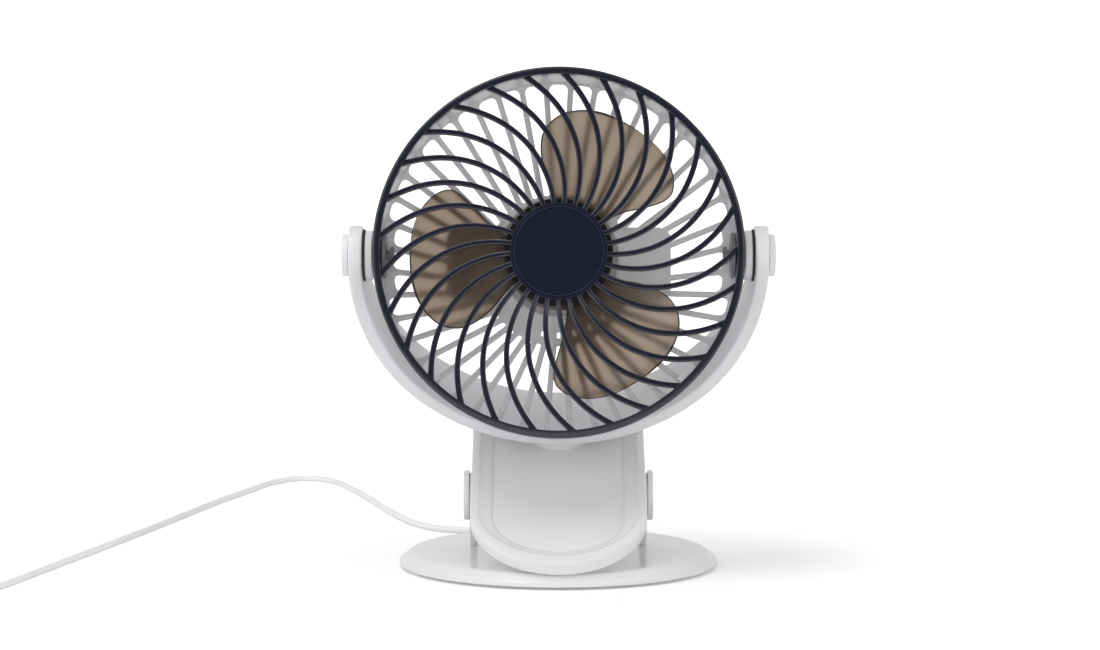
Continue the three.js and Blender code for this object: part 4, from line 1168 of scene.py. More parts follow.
@dataclass(frozen=True)
class Lead:
    """The thin lead from the base, with its strain relief, coil, tie and plug."""

    radius: float = 1.45
    exit_turn: float = 112.0  # degrees
    exit_height: float = 3.6
    relief_start: float = 60.0  # where the sleeve's own sizes count from
    relief_end: float = 78.0
    lie: float = 1.6
    turns: int = 4
    coil_outer: float = 19.7
    coil_inner: float = 12.3
    coil_low: float = 2.7
    coil_layer: float = 3.4
    coil_start: tuple[float, float] = (-227.4, -83.0)
    heading: float = -107.5  # degrees, into and out of the coil
    tail: float = 62.0  # from the coil to the plug
    plug_height: float = 3.9
    tie_half: float = 0.42  # half its thickness
    tie_wide: float = 3.0  # half its width
    tie_room: tuple[float, float, float] = (2.55, 1.95, 1.75)  # inside, outside and above the turns
    step: float = 1.5  # between the line's points
    route: tuple[tuple[float, float], ...] = (
        (-33.6, 82.4), (-39.6, 86.0), (-47.6, 88.6), (-56.0, 95.0), (-66.4, 112.4), (-78.6, 148.6),
        (-89.2, 186.8), (-100.0, 222.0), (-109.6, 247.6), (-119.6, 261.0), (-130.6, 261.6),
        (-140.8, 247.0), (-149.6, 218.0), (-160.8, 179.2), (-171.6, 134.0), (-182.7, 87.8),
        (-196.2, 34.3), (-209.3, -16.7), (-221.2, -62.0))

    def ahead(self) -> Points:
        """The level direction in which the lead enters and leaves its coil."""
        return np.array([*aimed(math.radians(self.heading)), 0.0])

    def out(self, radius: float) -> Points:
        """A point at a radius from the foot's middle, in the exit's direction."""
        return np.array([*(radius * aimed(math.radians(self.exit_turn))), self.exit_height])

    def entry(self) -> Points:
        """The point where the lead enters its coil."""
        return np.array([*self.coil_start, self.coil_low])

    def middle(self) -> Points:
        """The coil's middle: its entry, two radii ahead and one outer radius to the right.

        Returns:
            The point.
        """
        ahead = self.ahead()
        aside = np.array([-ahead[1], ahead[0], 0.0])
        return self.entry() - self.coil_outer * aside + 2 * self.radius * ahead

    def wound(self, share: Points) -> Points:
        """Points of the coil: a spiral in, a climb in its middle half turn, and a spiral out.

        Radius falls from outer to inner and grows back with |turns - half|, and height eases from
        the lower to the upper layer between half - 1/4 and half + 1/4 turns.

        Args:
            share: shares of the coil from 0 to 1.

        Returns:
            The points.
        """
        half = self.turns / 2
        run = share * self.turns
        away = np.maximum(np.abs(run - half) - 0.25, 0.0) / (half - 0.25)
        radius = self.coil_inner + (self.coil_outer - self.coil_inner) * away
        turn = math.radians(self.heading) + RIGHT_ANGLE - run * TAU
        height = self.coil_low + self.coil_layer * smooth((run - half + 0.25) * 2)
        return raised(self.middle()[:2] + radius[:, None] * aimed(turn), height)

    def tail_point(self, distance: float, height: float) -> Points:
        """A point at a distance ahead of the coil's end and at a height."""
        end = self.wound(np.array([1.0]))[0] + 2 * self.radius * self.ahead()
        return np.array([*(end + distance * self.ahead())[:2], height])

    def line(self) -> Points:
        """The whole centre line: run, coil and tail as one smooth line, in even steps.

        Returns:
            Its points, in millimetres.
        """
        ahead, entry = self.ahead(), self.entry()
        top = self.coil_low + self.coil_layer
        run = through(np.stack([
            self.out(self.relief_end - 2.0), self.out(self.relief_end + 3.2),
            *(np.array([*place, self.lie]) for place in self.route),
            np.array([*(entry - 12 * ahead)[:2], self.lie + 0.6]), entry - 3.2 * ahead, entry]), 24)
        coil = self.wound(np.linspace(0.0, 1.0, 96 * self.turns + 1))
        falls = ((0.0, top), (4.0, top), (16.0, 4.4), (28.0, self.lie + 0.2),
                 (40.0, self.lie + 0.1), (50.0, 2.9), (self.tail - 4.0, self.plug_height),
                 (self.tail + 1.5, self.plug_height))
        tail = through(np.stack([self.tail_point(*given) for given in falls]), 16)
        return evenly(np.vstack([run, coil, tail]), self.step)

    def along(self, start: Points, ahead: Points, profile: Points) -> Skin:
        """Turn rows of (distance, radius) round a level line that leaves start towards ahead."""
        middles = start + profile[:, :1] * ahead
        return loft(circles(middles, np.cross(ahead, UP)[None], UP[None], profile[:, 1], 40))

    def relief(self) -> bpy.types.Object:
        """Tapered sleeve behind a flange: radius falls evenly, less a groove every 1.6 mm.

        Returns:
            The object.
        """
        sleeve_start, sleeve_end = 8.6, 17.9
        run = np.linspace(sleeve_start, sleeve_end, 80)
        radius = np.interp(run, [sleeve_start, sleeve_end], [2.6, 1.95])
        cuts = grooves(run, 9.2, 1.6, 0.32, 0.35, 2.2, (9.4, 17.0))
        flange = eased([[6.2, 2.0], [6.2, 3.0], [8.5, 3.0], [8.5, 2.6]], 0.4)
        sleeve = np.column_stack([run, radius - cuts])
        profile = np.vstack([[0.2, 2.0], flange, sleeve, [18.0, 1.7]])
        skin = self.along(self.out(self.relief_start), self.out(1.0) * LEVEL, profile)
        return Moulding("lead_strain_relief").add(skin).make("base", JACKET, "strain_relief")

    def plug(self) -> bpy.types.Object:
        """Moulded grip with a ribbed neck: rounded-rectangle rows that swell along the lead.

        Returns:
            The object.
        """
        ahead, start = self.ahead(), self.tail_point(self.tail, self.plug_height)
        side = np.cross(ahead, UP)
        run = np.linspace(0.3, 9.0, 60)
        cuts = grooves(run, 0.0, 1.9, 0.28, 0.3, 2.0, (1.0, 7.6))
        neck = np.column_stack([run, np.interp(run, [0.3, 9], [2, 2.7]) - cuts])
        swell = ((8.0, 3.2, 2.0), (8.3, 4.3, 2.7), (9.2, 5.6, 3.2), (11.0, 7.2, 3.65),
                 (12.0, 7.55, 3.75), (14.0, 7.7, 3.8), (27.0, 7.8, 3.8), (27.6, 7.65, 3.7),
                 (28.0, 7.2, 3.3))
        rows = []
        for distance, wide, high in swell:
            outline = rounded_box(-wide, wide, -high, high, 0.62 * high)
            rows.append(start + distance * ahead + outline[:, :1] * side + outline[:, 1:] * UP)
        part = Moulding("plug_grip").add(self.along(start, ahead, neck)).add(loft(np.stack(rows)))
        return part.make("base", JACKET, "usb_plug_body")

    def tie(self) -> bpy.types.Object:
        """Strap round all the turns: a rounded-rectangle band with a soft section.

        Returns:
            The object.
        """
        ahead, half, wide = self.ahead(), self.tie_half, self.tie_wide
        inside, outside, layers = self.tie_room
        out = np.array([ahead[1], -ahead[0], 0.0])
        outline = rounded_box(
            self.coil_inner - inside - half, self.coil_outer + outside + half,
            self.coil_low - layers - half, self.coil_low + self.coil_layer + layers + half, 1.6)
        section = eased([[-wide, -half], [wide, -half], [wide, half], [-wide, half]], 0.3,
                        closed=True)
        along = along_loop(outline)
        normal = np.column_stack([along[:, 1], -along[:, 0]])
        flat = outline[None] + section[:, 1][:, None, None] * normal[None]
        rows = (self.middle() * LEVEL + flat[..., :1] * out + flat[..., 1:] * UP
                + section[:, :1][:, None] * ahead)
        return Moulding("coil_tie_strap").add(hoop(rows)).make("base", TIE, "coil_tie")

    def build(self) -> None:
        line = self.line()
        lead = Moulding("lead", sharp=60.0).add(tube(line, self.radius, 14))
        lead = lead.make("base", JACKET, "cord_run", "cord_coil", "cord_tail")
        pieces = [self.relief(), self.plug(), self.tie(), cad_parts["usb_plug_shell"]]


# ------------------------------------------------------------------ base and lower jaw


def hinge_tab(centre: tuple[float, float], radius: float, front: tuple[float, float],
              rear: tuple[float, float]) -> Points:
    """Counter-clockwise tab: a round head whose tangents run to two feet.

    A tangent leaves the head at the foot's bearing plus or minus acos(radius / distance).

    Args:
        centre: the head's middle as (y, z).
        radius: the head's radius.
        front: the foot with the smaller y.
        rear: the other foot.

    Returns:
        The outline, of shape (n, 2).
    """
    middle = np.array(centre)
    below = -1.0 if front[1] < centre[1] else 1.0
    bearing = [math.atan2(foot[1] - centre[1], foot[0] - centre[0]) for foot in (front, rear)]
    swing = [math.acos(radius / math.dist(foot, centre)) for foot in (front, rear)]
    start, end = bearing[0] + below * swing[0], bearing[1] - below * swing[1]
    if below < 0 and end > start:
        end -= TAU
    if below > 0 and end < start:
        end += TAU
    head = middle + radius * aimed(np.linspace(start, end, 28))
    side = np.linspace(0.0, 1.0, 6)[1:-1, None]
    outline = np.vstack([head, head[-1] + side * (np.array(rear) - head[-1]), [rear], [front],
                         np.array(front) + side * (head[0] - np.array(front))])
    following = np.roll(outline, -1, axis=0)
    area = np.sum(outline[:, 0] * following[:, 1] - outline[:, 1] * following[:, 0])
    return outline if area > 0 else outline[::-1]


BAR_PITCH = 2.4


def grip_bar(half: float, y: float, low: float, high: float) -> Skin:
    """A rounded bar across a rubber pad at y, from its low to its high face."""
    return slab(rounded_box(-half, half, y - 0.7, y + 0.7, 0.6, 4), low, high, 0.25)


@dataclass(frozen=True)
class Base:
    """Round lower jaw that is also the foot, with its cheeks, cover, pads, pin caps and spring."""

    radius: float = 66.0
    top_radius: float = 61.6  # inside the bevel
    top: float = 6.5
    ceiling: float = 3.4  # of the hollow under the plate
    rim_low: float = 1.2
    rim_high: float = 2.9
    hollow: float = 59.5
    cover: tuple[float, float] = (1.3, 3.1)  # lower and upper face
    groove: tuple[float, float, float] = (49.7, 57.3, 2.2)  # inner and outer radius, height
    foot: tuple[float, float, float] = (50.0, 57.0, 1.9)  # inner and outer radius, height
    hinge: tuple[float, float] = (3.0, 28.8)  # y and z
    cheek: tuple[float, float] = (34.2, 37.0)  # inner and outer face
    cheek_head: float = 9.4
    cheek_feet: tuple[float, float] = (10.0, 36.0)  # y of both
    cap_radius: float = 10.4
    cap: tuple[float, float] = (37.05, 39.4)  # inner and outer face
    wire: float = 0.8
    coil: float = 5.2
    coil_turns: int = 4
    coil_half: float = 6.5
    coil_start: float = 41.0  # degrees
    leg_low: float = 28.0  # y of the lower leg's end
    leg_high: tuple[float, float] = (88.0, -6.3)  # y and z of the upper leg's end on the jaw

    def plate(self) -> None:
        """Turned plate with a bevel, and two hinge cheeks standing on it."""
        profile = eased([[40.0, self.ceiling], [self.hollow, self.ceiling],
                         [self.hollow, self.rim_low], [self.radius, self.rim_low],
                         [self.radius, self.rim_high], [self.top_radius, self.top],
                         [50.0, self.top]], [0, 0.3, 0.25, 0.3, 0.3, 1.5, 0], 6)
        front, rear = self.cheek_feet
        tab = hinge_tab(self.hinge, self.cheek_head, (front, self.top - 1), (rear, self.top - 1))
        part = Moulding("base_plate_shell").add(turned(profile, 256))
        for cheek in mirrored_slabs(tab, *self.cheek, 0.6):
            part.add(cheek)
        part.make("base", WHITE_GLOSS_PAINTED_LIGHT, "base_plate")

    def underside(self) -> None:
        """Turned cover with the groove that holds the rubber foot, and the foot itself."""
        (low, high), (near, far, roof) = self.cover, self.groove
        edge = self.hollow - 0.3
        profile = eased([[20.0, low], [near, low], [near, roof], [far, roof], [far, low],
                         [edge, low], [edge, high], [20.0, high]], [0, 0.2, 0, 0, 0.2, 0.2, 0, 0])
        Moulding("base_cover_disc").add(turned(profile, 192)).make("base", WHITE, "base_cover")
        near, far, roof = self.foot
        ring = eased([[near, 0.0], [far, 0.0], [far, roof], [near, roof]], [0.5, 0.5, 0.1, 0.1],
                     closed=True)
        part = Moulding("rubber_foot_ring").add(turned(ring, 192, closed=True))
        part.make("base", RUBBER, "base_foot")

    def pads(self) -> None:
        """Rubber pad let into the plate, with shallow grip bars across it."""
        part = Moulding("lower_grip_pad")
        part.add(slab(rounded_box(-14.5, 14.5, -52.0, -30.0, 5.0), 6.2, 7.1, 0.2))
        for y in np.arange(-50.0, -31.0, BAR_PITCH):
            half = 13.7 - max(0.0, abs(y + 41.0) - 6.0) * 0.5
            part.add(grip_bar(half, y, 6.8, 7.5))
        part.make("base", RUBBER, "lower_jaw_pad")

    def pin_caps(self) -> None:
        """Round caps over the pin's ends."""
        (inside, outside), hidden = self.cap, 6.0
        profile = eased([[hidden, inside], [self.cap_radius, inside], [self.cap_radius, outside],
                         [hidden, outside]], [0, 0.2, 0.9, 0], 6)
        for way, side in SIDES:
            skin = turned(profile, 96, way=way, centre=(0.0, *self.hinge))
            Moulding(f"pin_cap_{side}").add(skin).make("base", WHITE_GLOSS_PAINTED_LIGHT, f"hinge_cap_{side}")

    def spring(self) -> None:
        """Torsion spring: a helix round the pin with two straight legs.

        The upper leg starts with the coil's last arc and rides on the jaw, round the same axis.
        """
        turns, half, start = self.coil_turns, self.coil_half, math.radians(self.coil_start)
        share = np.linspace(0.0, 1.0, 36 * turns)
        angle = start + (turns * TAU - start) * share
        ring = np.array(self.hinge) + self.coil * aimed(angle)
        helix = np.column_stack([-half + 2 * half * share, ring])
        low = np.array([-half, self.leg_low, self.top + 0.3 + self.wire])
        high = JAW_AXES.place(np.array([half, *self.leg_high])) / MM
        legs = np.linspace(0.0, 0.94, 12)[:, None]
        lower = np.vstack([low + legs * (helix[0] - low), helix])
        upper = np.vstack([helix[-6:], helix[-1] + (legs + 0.06) * (high - helix[-1])])
        across = np.array([1.0, 0.02, 0.01])
        part = Moulding("torsion_spring", sharp=60.0).add(tube(lower, self.wire, 12, across))
        part.make("base", SPRING_WIRE, "jaw_spring")
        part = Moulding("spring_upper_leg", sharp=60.0)
        part.add(tube(upper, 0.98 * self.wire, 12, across)).make("jaw", SPRING_WIRE)

    def build(self) -> None:
        """Make every piece of the base."""
        self.plate()
        self.underside()
        self.pads()
        self.pin_caps()
        self.spring()


# ------------------------------------------------------------------ upper jaw


@dataclass(frozen=True)
class UpperJaw:
    """The sloping tongue, drawn flat: X across, Y up its slope from the tip, Z out of its rim."""

    half: float = 36.0  # half the width, and the tip's radius
    length: float = 118.0
    corner: float = 18.0
    skirt: float = 5.8  # how deep it hangs
    dish: float = 3.0  # how deep the panel lies
    floor: float = 2.0  # the panel's thickness
    rim_side: float = 3.6
    rim_tip: float = 6.2
    hinge: tuple[float, float] = (69.95, -16.69)  # y and z
    ear: tuple[float, float] = (31.4, 33.7)  # inner and outer face
    ear_head: float = 8.6
    ear_feet: tuple[float, float] = (26.0, 102.0)  # y of both
    swivel_at: float = 95.2
    boss: float = 12.3
    pad_radius: float = 25.0

    def outline(self, side: float, tip: float, rear: float, depth: float) -> Points:
        """Counter-clockwise outline: half an ellipse, two straight sides and two rear corners.

        Args:
            side: how far the sides are moved in before the outline is drawn.
            tip: the same for the tip.
            rear: the same for the rear edge.
            depth: how far the drawn outline then shrinks.

        Returns:
            The outline, of shape (n, 2).
        """
        half, end = self.half - side, self.half - tip
        corner = self.corner - side
        back = self.length - rear - corner
        x0, x1 = half - depth, corner - depth
        tip_arc = aimed(np.linspace(math.pi, TAU, 57)) * [x0, end - depth]
        quarter = x1 * aimed(np.linspace(0.0, RIGHT_ANGLE, 15))
        run = np.linspace(0.0, 1.0, 14)[1:-1]
        level = np.full(12, 1.0)
        return np.vstack([
            tip_arc + [0.0, self.half],
            np.column_stack([x0 * level, self.half + run * (back - self.half)]),
            np.column_stack([half - corner + quarter[:, 0], back + quarter[:, 1]]),
            np.column_stack([(half - corner) * (1 - 2 * run), (back + x1) * level]),
            np.column_stack([corner - half - quarter[:, 1], back + quarter[:, 0]]),
            np.column_stack([-x0 * level, back + run * (self.half - back)])])

    def rows(self) -> Points:
        """Rows of the skin from under the panel, round the edge and rim, and into the dish.

        Returns:
            The rows, of shape (rows, points in a row, 3).
        """
        under, skirt, dish = -self.dish - self.floor, -self.skirt, -self.dish
        edge = ((14.0, under), (3.4, under), (2.9, under - 0.12), (2.5, skirt + 0.1), (2.1, skirt),
                (0.9, skirt), (0.35, skirt + 0.2), (0.08, skirt + 0.6), (0.0, skirt + 1.1),
                (0.0, -1.7), (0.06, -1.15), (0.2, -0.55), (0.5, -0.14), (0.95, 0.0))
        panel = ((-0.7, 0.0), (-0.25, -0.06), (0.05, -0.24), (0.35, -0.5), (1.6, -1.02),
                 (3.2, -1.6), (4.6, -2.1), (5.2, -2.4), (5.5, -2.75), (5.75, dish), (14.0, dish))
        rim = (self.rim_side, self.rim_tip, self.rim_side)
        rows = [raised(self.outline(0.0, 0.0, 0.0, depth), height) for depth, height in edge]
        rows += [raised(self.outline(*rim, depth), height) for depth, height in panel]
        return np.stack(rows)

    def shell(self) -> None:
        """The tongue with the swivel's boss and two hinge ears."""
        boss = eased([[self.boss, -self.dish - 1], [self.boss, 1.2], [6.0, 1.2]], [0, 0.2, 0])
        root = -self.dish - self.floor + 0.6
        front, rear = self.ear_feet
        tab = hinge_tab(self.hinge, self.ear_head, (front, root), (rear, root))
        part = Moulding("tongue", JAW_AXES).add(loft(self.rows()))
        part.add(turned(boss, 128, centre=(0.0, self.swivel_at, 0.0)))
        for ear in mirrored_slabs(tab, *self.ear, 0.4):
            part.add(ear)
        part.make("jaw", WHITE_GLOSS_PAINTED_LIGHT, "upper_jaw")

    def pad(self) -> None:
        """Half-moon rubber pad with grip bars, under the tip."""
        top, radius = -self.dish - self.floor - 0.3, self.pad_radius
        arc = np.array([0.0, self.half]) + radius * aimed(np.linspace(math.pi, TAU, 65))
        chord = np.column_stack([np.linspace(radius, -radius, 20)[1:-1], np.full(18, self.half)])
        part = Moulding("upper_grip_pad", JAW_AXES)
        part.add(slab(np.vstack([arc, chord]), top - 1.0, top, 0.2))
        for y in np.arange(14.0, 35.5, BAR_PITCH):
            half = math.sqrt(radius ** 2 - (self.half - y) ** 2) - 1.4
            part.add(grip_bar(half, y, top - 1.4, top - 0.7))
        part.make("jaw", RUBBER, "upper_jaw_pad")

    def build(self) -> None:
        """Make the tongue and its pad."""
        self.shell()
        self.pad()


# ------------------------------------------------------------------ yoke


@dataclass(frozen=True)
class Yoke:
    """U-shaped arm, drawn from the tilt axis: X across, Y rearwards, Z up the swivel axis."""

    out: float = 85.0  # half the outer width
    inside: float = 79.4  # half the inner width
    drop_out: float = 82.8
    drop_in: float = 77.6
    arm_depth: float = 12.0  # half the arms' depth
    low_depth: float = 16.4  # the same at the bottom
    ease: float = 60.0  # drop over which the depth grows
    edge: float = 1.1
    foot: float = -83.5  # height of the swivel boss's foot
    cover: float = 10.4  # radius
    cover_low: float = -78.3
    cap: float = 8.6
    cap_thick: float = 2.6

    def depth(self, height: Points) -> Points:
        """Half depth: round arm ends above the axis, easing to a deeper band below it."""
        rounded = np.sqrt(np.maximum(self.arm_depth ** 2 - np.maximum(height, 0.0) ** 2, 1e-6))
        return rounded + (self.low_depth - self.arm_depth) * smooth(-height / self.ease)

    def arch(self, half: float, drop: float) -> Points:
        """One line of the band as (x, z): two upright arms joined by half an ellipse.

        Args:
            half: half its width.
            drop: how far it drops.

        Returns:
            The line, from the left arm's top to the right one's.
        """
        rise = self.arm_depth * np.sin(np.linspace(RIGHT_ANGLE, 0.0, 16))
        rise[0] = self.arm_depth - 0.02
        turn = np.linspace(math.pi, TAU, 121)[1:-1]
        return np.vstack([np.column_stack([np.full(16, -half), rise]),
                          np.column_stack([half * np.cos(turn), drop * np.sin(turn)]),
                          np.column_stack([np.full(16, half), rise[::-1]])])

    def band(self) -> Skin:
        """Rounded-rectangle sections between the outer and inner line, as deep as depth says.

        Returns:
            The skin.
        """
        outer, inner = self.arch(self.out, self.drop_out), self.arch(self.inside, self.drop_in)
        deep = self.depth((outer[:, 1] + inner[:, 1]) / 2)
        thick = np.linalg.norm(outer - inner, axis=1)[:, None]
        across = unit(inner - outer)
        far, near = quarter_round(np.minimum(self.edge, 0.45 * deep)[:, None], 6)
        deep = deep[:, None]
        flat = np.hstack([near, thick - near[:, ::-1], thick - near, near[:, ::-1]])
        side = np.hstack([far - deep, far[:, ::-1] - deep, deep - far, deep - far[:, ::-1]])
        x = outer[:, :1] + flat * across[:, :1]
        z = outer[:, 1:] + flat * across[:, 1:]
        return loft(np.stack([x, side, z], axis=-1))

    def build(self) -> None:
        """Make the yoke, the swivel cover and the two tilt caps."""
        boss = eased([[8.0, self.foot], [12.3, self.foot], [12.3, -79.2], [8.0, -79.2]],
                     [0, 0.2, 0, 0])
        part = Moulding("yoke_arm", YOKE_AXES).add(self.band()).add(turned(boss, 128))
        part.make("yoke", WHITE, "yoke")
        low, high = self.cover_low, self.cover_low + 1.0
        cover = eased([[self.cover, low], [self.cover, high], [4.0, high]], [0, 0.5, 0])
        part = Moulding("swivel_cover_disc", YOKE_AXES).add(turned(cover, 96))
        part.make("yoke", WHITE, "swivel_cover")
        start = self.out + 0.3
        end = start + self.cap_thick
        cap = eased([[self.cap, start], [self.cap, end], [4.0, end]], [0, 1.0, 0], 6)
        for way, side in SIDES:
            part = Moulding(f"tilt_cap_{side}", YOKE_AXES).add(turned(cap, 96, way=way))
            part.make("yoke", WHITE, f"pivot_cap_{side}")


# ------------------------------------------------------------------ head: rear housing


@dataclass(frozen=True)
class RearHousing:
    """White shell whose back is a ring of slots between straight ribs that aim below the middle.

    A cell is the piece of the back between the middles of two ribs, with one slot in it.
    """

    outer: float = 73.6
    inner: float = 72.3
    front: float = 11.9
    corner: float = 4.0  # radius of the rounded back corner
    face: float = -9.8  # the back plate's inside
    back: float = -12.0  # its outside
    ribs: int = 44
    rib_width: float = 2.4
    focus: tuple[float, float] = (0.0, -13.5)  # where the ribs aim
    slot_out: float = 71.7
    slot_out_pivot: float = 67.8  # beside the pivots
    pivot_reach: float = 13.0  # degrees
    slot_in: float = 31.1
    slot_cuts: tuple[float, float, float, float] = (1.1, 2.9, 2.9, 1.1)  # the corners' rounding
    inner_centre: float = -5.2  # height of the middle of the slots' inner ends
    disc: float = 29.4  # radius at which the cells start
    collar: float = 24.0  # radius of the middle disc
    hole_at: float = 26.7
    hole: float = 1.25
    hole_step: float = 0.14  # how much smaller each next one is
    hole_edge: float = 0.3
    holes_beside: int = 3  # on each side
    edge: float = 0.5  # rounding of the slots' edges
    side_points: int = 12  # along each side of a cell
    catches: tuple[float, float, float, float] = (46.0, 131.2, 225.0, 315.0)  # degrees

    def centre(self) -> Points:
        """The middle of the slots' inner ends."""
        return np.array([0.0, self.inner_centre])

    def along_rib(self, aim: Points, offset: float, radius: Points | float,
                  centre: float) -> Points:
        """Where lines beside the ribs meet a circle: start + d (-h + sqrt(h^2 - |s|^2 + R^2)).

        Args:
            aim: unit directions of the ribs.
            offset: how far the lines lie to the left of the ribs' middles.
            radius: the circle's radius.
            centre: the height of its middle.

        Returns:
            A point for each rib.
        """
        start = np.array(self.focus) + offset * np.column_stack([-aim[:, 1], aim[:, 0]])
        seen = start - np.array([0.0, centre])
        half = np.sum(seen * aim, axis=1)
        reach = -half + np.sqrt(half ** 2 - np.sum(seen ** 2, axis=1) + np.asarray(radius) ** 2)
        return start + aim * reach[:, None]

    def turns(self, shift: float) -> Points:
        """Bearings of the cells, moved by a share of a cell."""
        return RIGHT_ANGLE + (np.arange(self.ribs) + shift) * TAU / self.ribs

    def aims(self, shift: float) -> Points:
        """Unit directions of the ribs beside each cell; shift is -1/2 or 1/2 of a cell."""
        return unit(self.inner * aimed(self.turns(shift)) - np.array(self.focus))

    def slot_ends(self) -> Points:
        """Outer radius of each slot, shorter beside the pivots."""
        beside = np.abs(np.sin(self.turns(0.0))) < math.sin(math.radians(self.pivot_reach))
        return np.where(beside, self.slot_out_pivot, self.slot_out)

    def corners(self, half: float, inner: float, outer: Points | float) -> Points:
        """Four corners of every cell or slot.

        Args:
            half: how far its sides lie from the ribs' middles.
            inner: radius of its inner end.
            outer: radius of its outer end.

        Returns:
            The corners, counter-clockwise from the inner one on the first rib.
        """
        before, after = self.aims(-0.5), self.aims(0.5)
        return np.stack([self.along_rib(before, half, inner, self.inner_centre),
                         self.along_rib(before, half, outer, 0.0),
                         self.along_rib(after, -half, outer, 0.0),
                         self.along_rib(after, -half, inner, self.inner_centre)], axis=1)

    def shares(self) -> Points:
        """Shares of a cell's side at which its points lie."""
        return (np.arange(self.side_points) / self.side_points)[None, None, :, None]

    def slot(self, grow: float) -> Points:
        """Outline of every slot with rounded corners.

        Each side holds the second half of one corner's parabola, a straight run and the first half
        of the next corner's.

        Args:
            grow: how much the slots are grown all round.

        Returns:
            The outlines, of shape (cells, points, 2).
        """
        arc, straight = 0.3, 0.4
        corners = self.corners(self.rib_width / 2 - grow, self.slot_in - grow,
                               self.slot_ends() + grow)
        width = np.linalg.norm(corners[:, 3] - corners[:, 0], axis=1)[:, None, None]
        room = np.where(np.arange(4)[None, :, None] % 3 == 0, 0.48 * width, 9.0)
        cuts = np.minimum(np.array(self.slot_cuts)[None, :, None] + grow, room)
        before, after = np.roll(corners, 1, axis=1), np.roll(corners, -1, axis=1)
        later, later_cuts = np.roll(corners, -2, axis=1), np.roll(cuts, -1, axis=1)
        tangent = (corners + unit(before - corners) * cuts)[:, :, None]
        begin = (corners + unit(after - corners) * cuts)[:, :, None]
        stop = (after + unit(corners - after) * later_cuts)[:, :, None]
        beyond = (after + unit(later - after) * later_cuts)[:, :, None]
        f = self.shares()
        run = (f - arc) / straight
        first = parabola(tangent, corners[:, :, None], begin, 0.5 + 0.5 * f / arc)
        last = parabola(stop, after[:, :, None], beyond, 0.5 * (f - arc - straight) / arc)
        middle = (1 - run) * begin + run * stop
        line = np.where(f < arc, first, np.where(f > arc + straight, last, middle))
        return line.reshape(self.ribs, -1, 2)

    def cells(self) -> Points:
        """Outline of every cell: rib middles at the sides, circles at the inner and outer end.

        Returns:
            The outlines, of shape (cells, points, 2).
        """
        corners, centre = self.corners(0.0, self.disc, self.inner), self.centre()
        f = self.shares()
        line = (1 - f) * corners[:, :, None] + f * np.roll(corners, -1, axis=1)[:, :, None]
        line[:, 1] = unit(line[:, 1]) * self.inner
        line[:, 3] = centre + unit(line[:, 3] - centre) * self.disc
        return line.reshape(self.ribs, -1, 2)

    def dip(self, flat: Points) -> Points:
        """How far the rounded back corner lifts a back point: c - sqrt(c^2 - (r - r0)^2).

        Args:
            flat: points of shape (..., 2).

        Returns:
            The lift at each.
        """
        start = self.outer - self.corner
        over = np.clip(np.linalg.norm(flat, axis=-1) - start, 0.0, self.corner)
        return self.corner - np.sqrt(self.corner ** 2 - over ** 2)

    def shell(self) -> Skin:
        """The whole shell: slot edges carried out to their cells, wall, band and disc.

        Returns:
            The skin.
        """
        cells = self.cells()
        rounding = [*zip(*quarter_round(self.edge, 4))]
        rows = [raised(cells, self.back + self.dip(cells))]
        for grow, depth in rounding:
            line = self.slot(grow)
            rows.append(raised(line, self.back + self.dip(line) + depth))
        rows += [raised(self.slot(grow), self.face - depth) for grow, depth in rounding[::-1]]
        grid = np.stack([*rows, raised(cells, self.face)], axis=1)
        edges = grid.reshape(-1, 3), [row_quads(numbered(*grid.shape[:3]), turned_over=True)]
        return joined([edges, self.wall(cells), self.middle(cells), *self.band(cells)])

    def wall(self, cells: Points) -> Skin:
        """Side wall: its profile is carried round the outer ends of the cells.

        Args:
            cells: the cells' outlines.

        Returns:
            The skin.
        """
        ends = cells[:, self.side_points:2 * self.side_points].reshape(-1, 2)
        start = self.back + float(self.dip(np.array([self.inner, 0.0])))
        first = math.asin((self.inner - self.outer + self.corner) / self.corner)
        arc = np.linspace(first, RIGHT_ANGLE, 8)[1:]
        bend = np.column_stack([self.outer - self.corner + self.corner * np.sin(arc),
                                self.back + self.corner - self.corner * np.cos(arc)])
        lip = eased([[self.outer, 0.0], [self.outer, self.front], [self.inner, self.front],
                     [self.inner, self.face]], [0, 0.4, 0.4, 0])
        profile = np.vstack([[self.inner, start], bend, lip])
        rows = np.stack([raised(unit(ends) * radius, height) for radius, height in profile])
        return rows.reshape(-1, 3), [row_quads(numbered(*rows.shape[:2]))]

    def band(self, cells: Points) -> list[Skin]:
        """Band inside the slots, cell by cell; every other one at the bottom has a round hole.

        Args:
            cells: the cells' outlines.

        Returns:
            A skin for each cell.
        """
        centre, skins = self.centre(), []
        middles = self.along_rib(self.aims(0.0), 0.0, self.hole_at, self.inner_centre)
        for number, outline in enumerate(cells):
            outer = np.vstack([outline[:1], outline[3 * self.side_points:][::-1]])
            inner = centre + (outer - centre) * (self.collar / self.disc)
            step = abs(number - self.ribs // 2) / 2
            if step > self.holes_beside or step % 1:
                skins.append(self.plain_cell(outer, inner))
            else:
                radius = self.hole - self.hole_step * step
                skins.append(self.holed_cell(outer, inner, middles[number], radius))
        return skins

    def plain_cell(self, outer: Points, inner: Points) -> Skin:
        """A cell of the band without a hole: two faces.

        Args:
            outer: its outer line.
            inner: its inner line.

        Returns:
            The skin.
        """
        rows = [raised(line, height)
                for height in (self.face, self.back) for line in (outer, inner)]
        strip = numbered(4, len(outer))
        faces = [np.stack([strip[a, :-1], strip[a, 1:], strip[b, 1:], strip[b, :-1]], axis=-1)
                 for a, b in ((0, 1), (3, 2))]
        return np.vstack(rows), faces

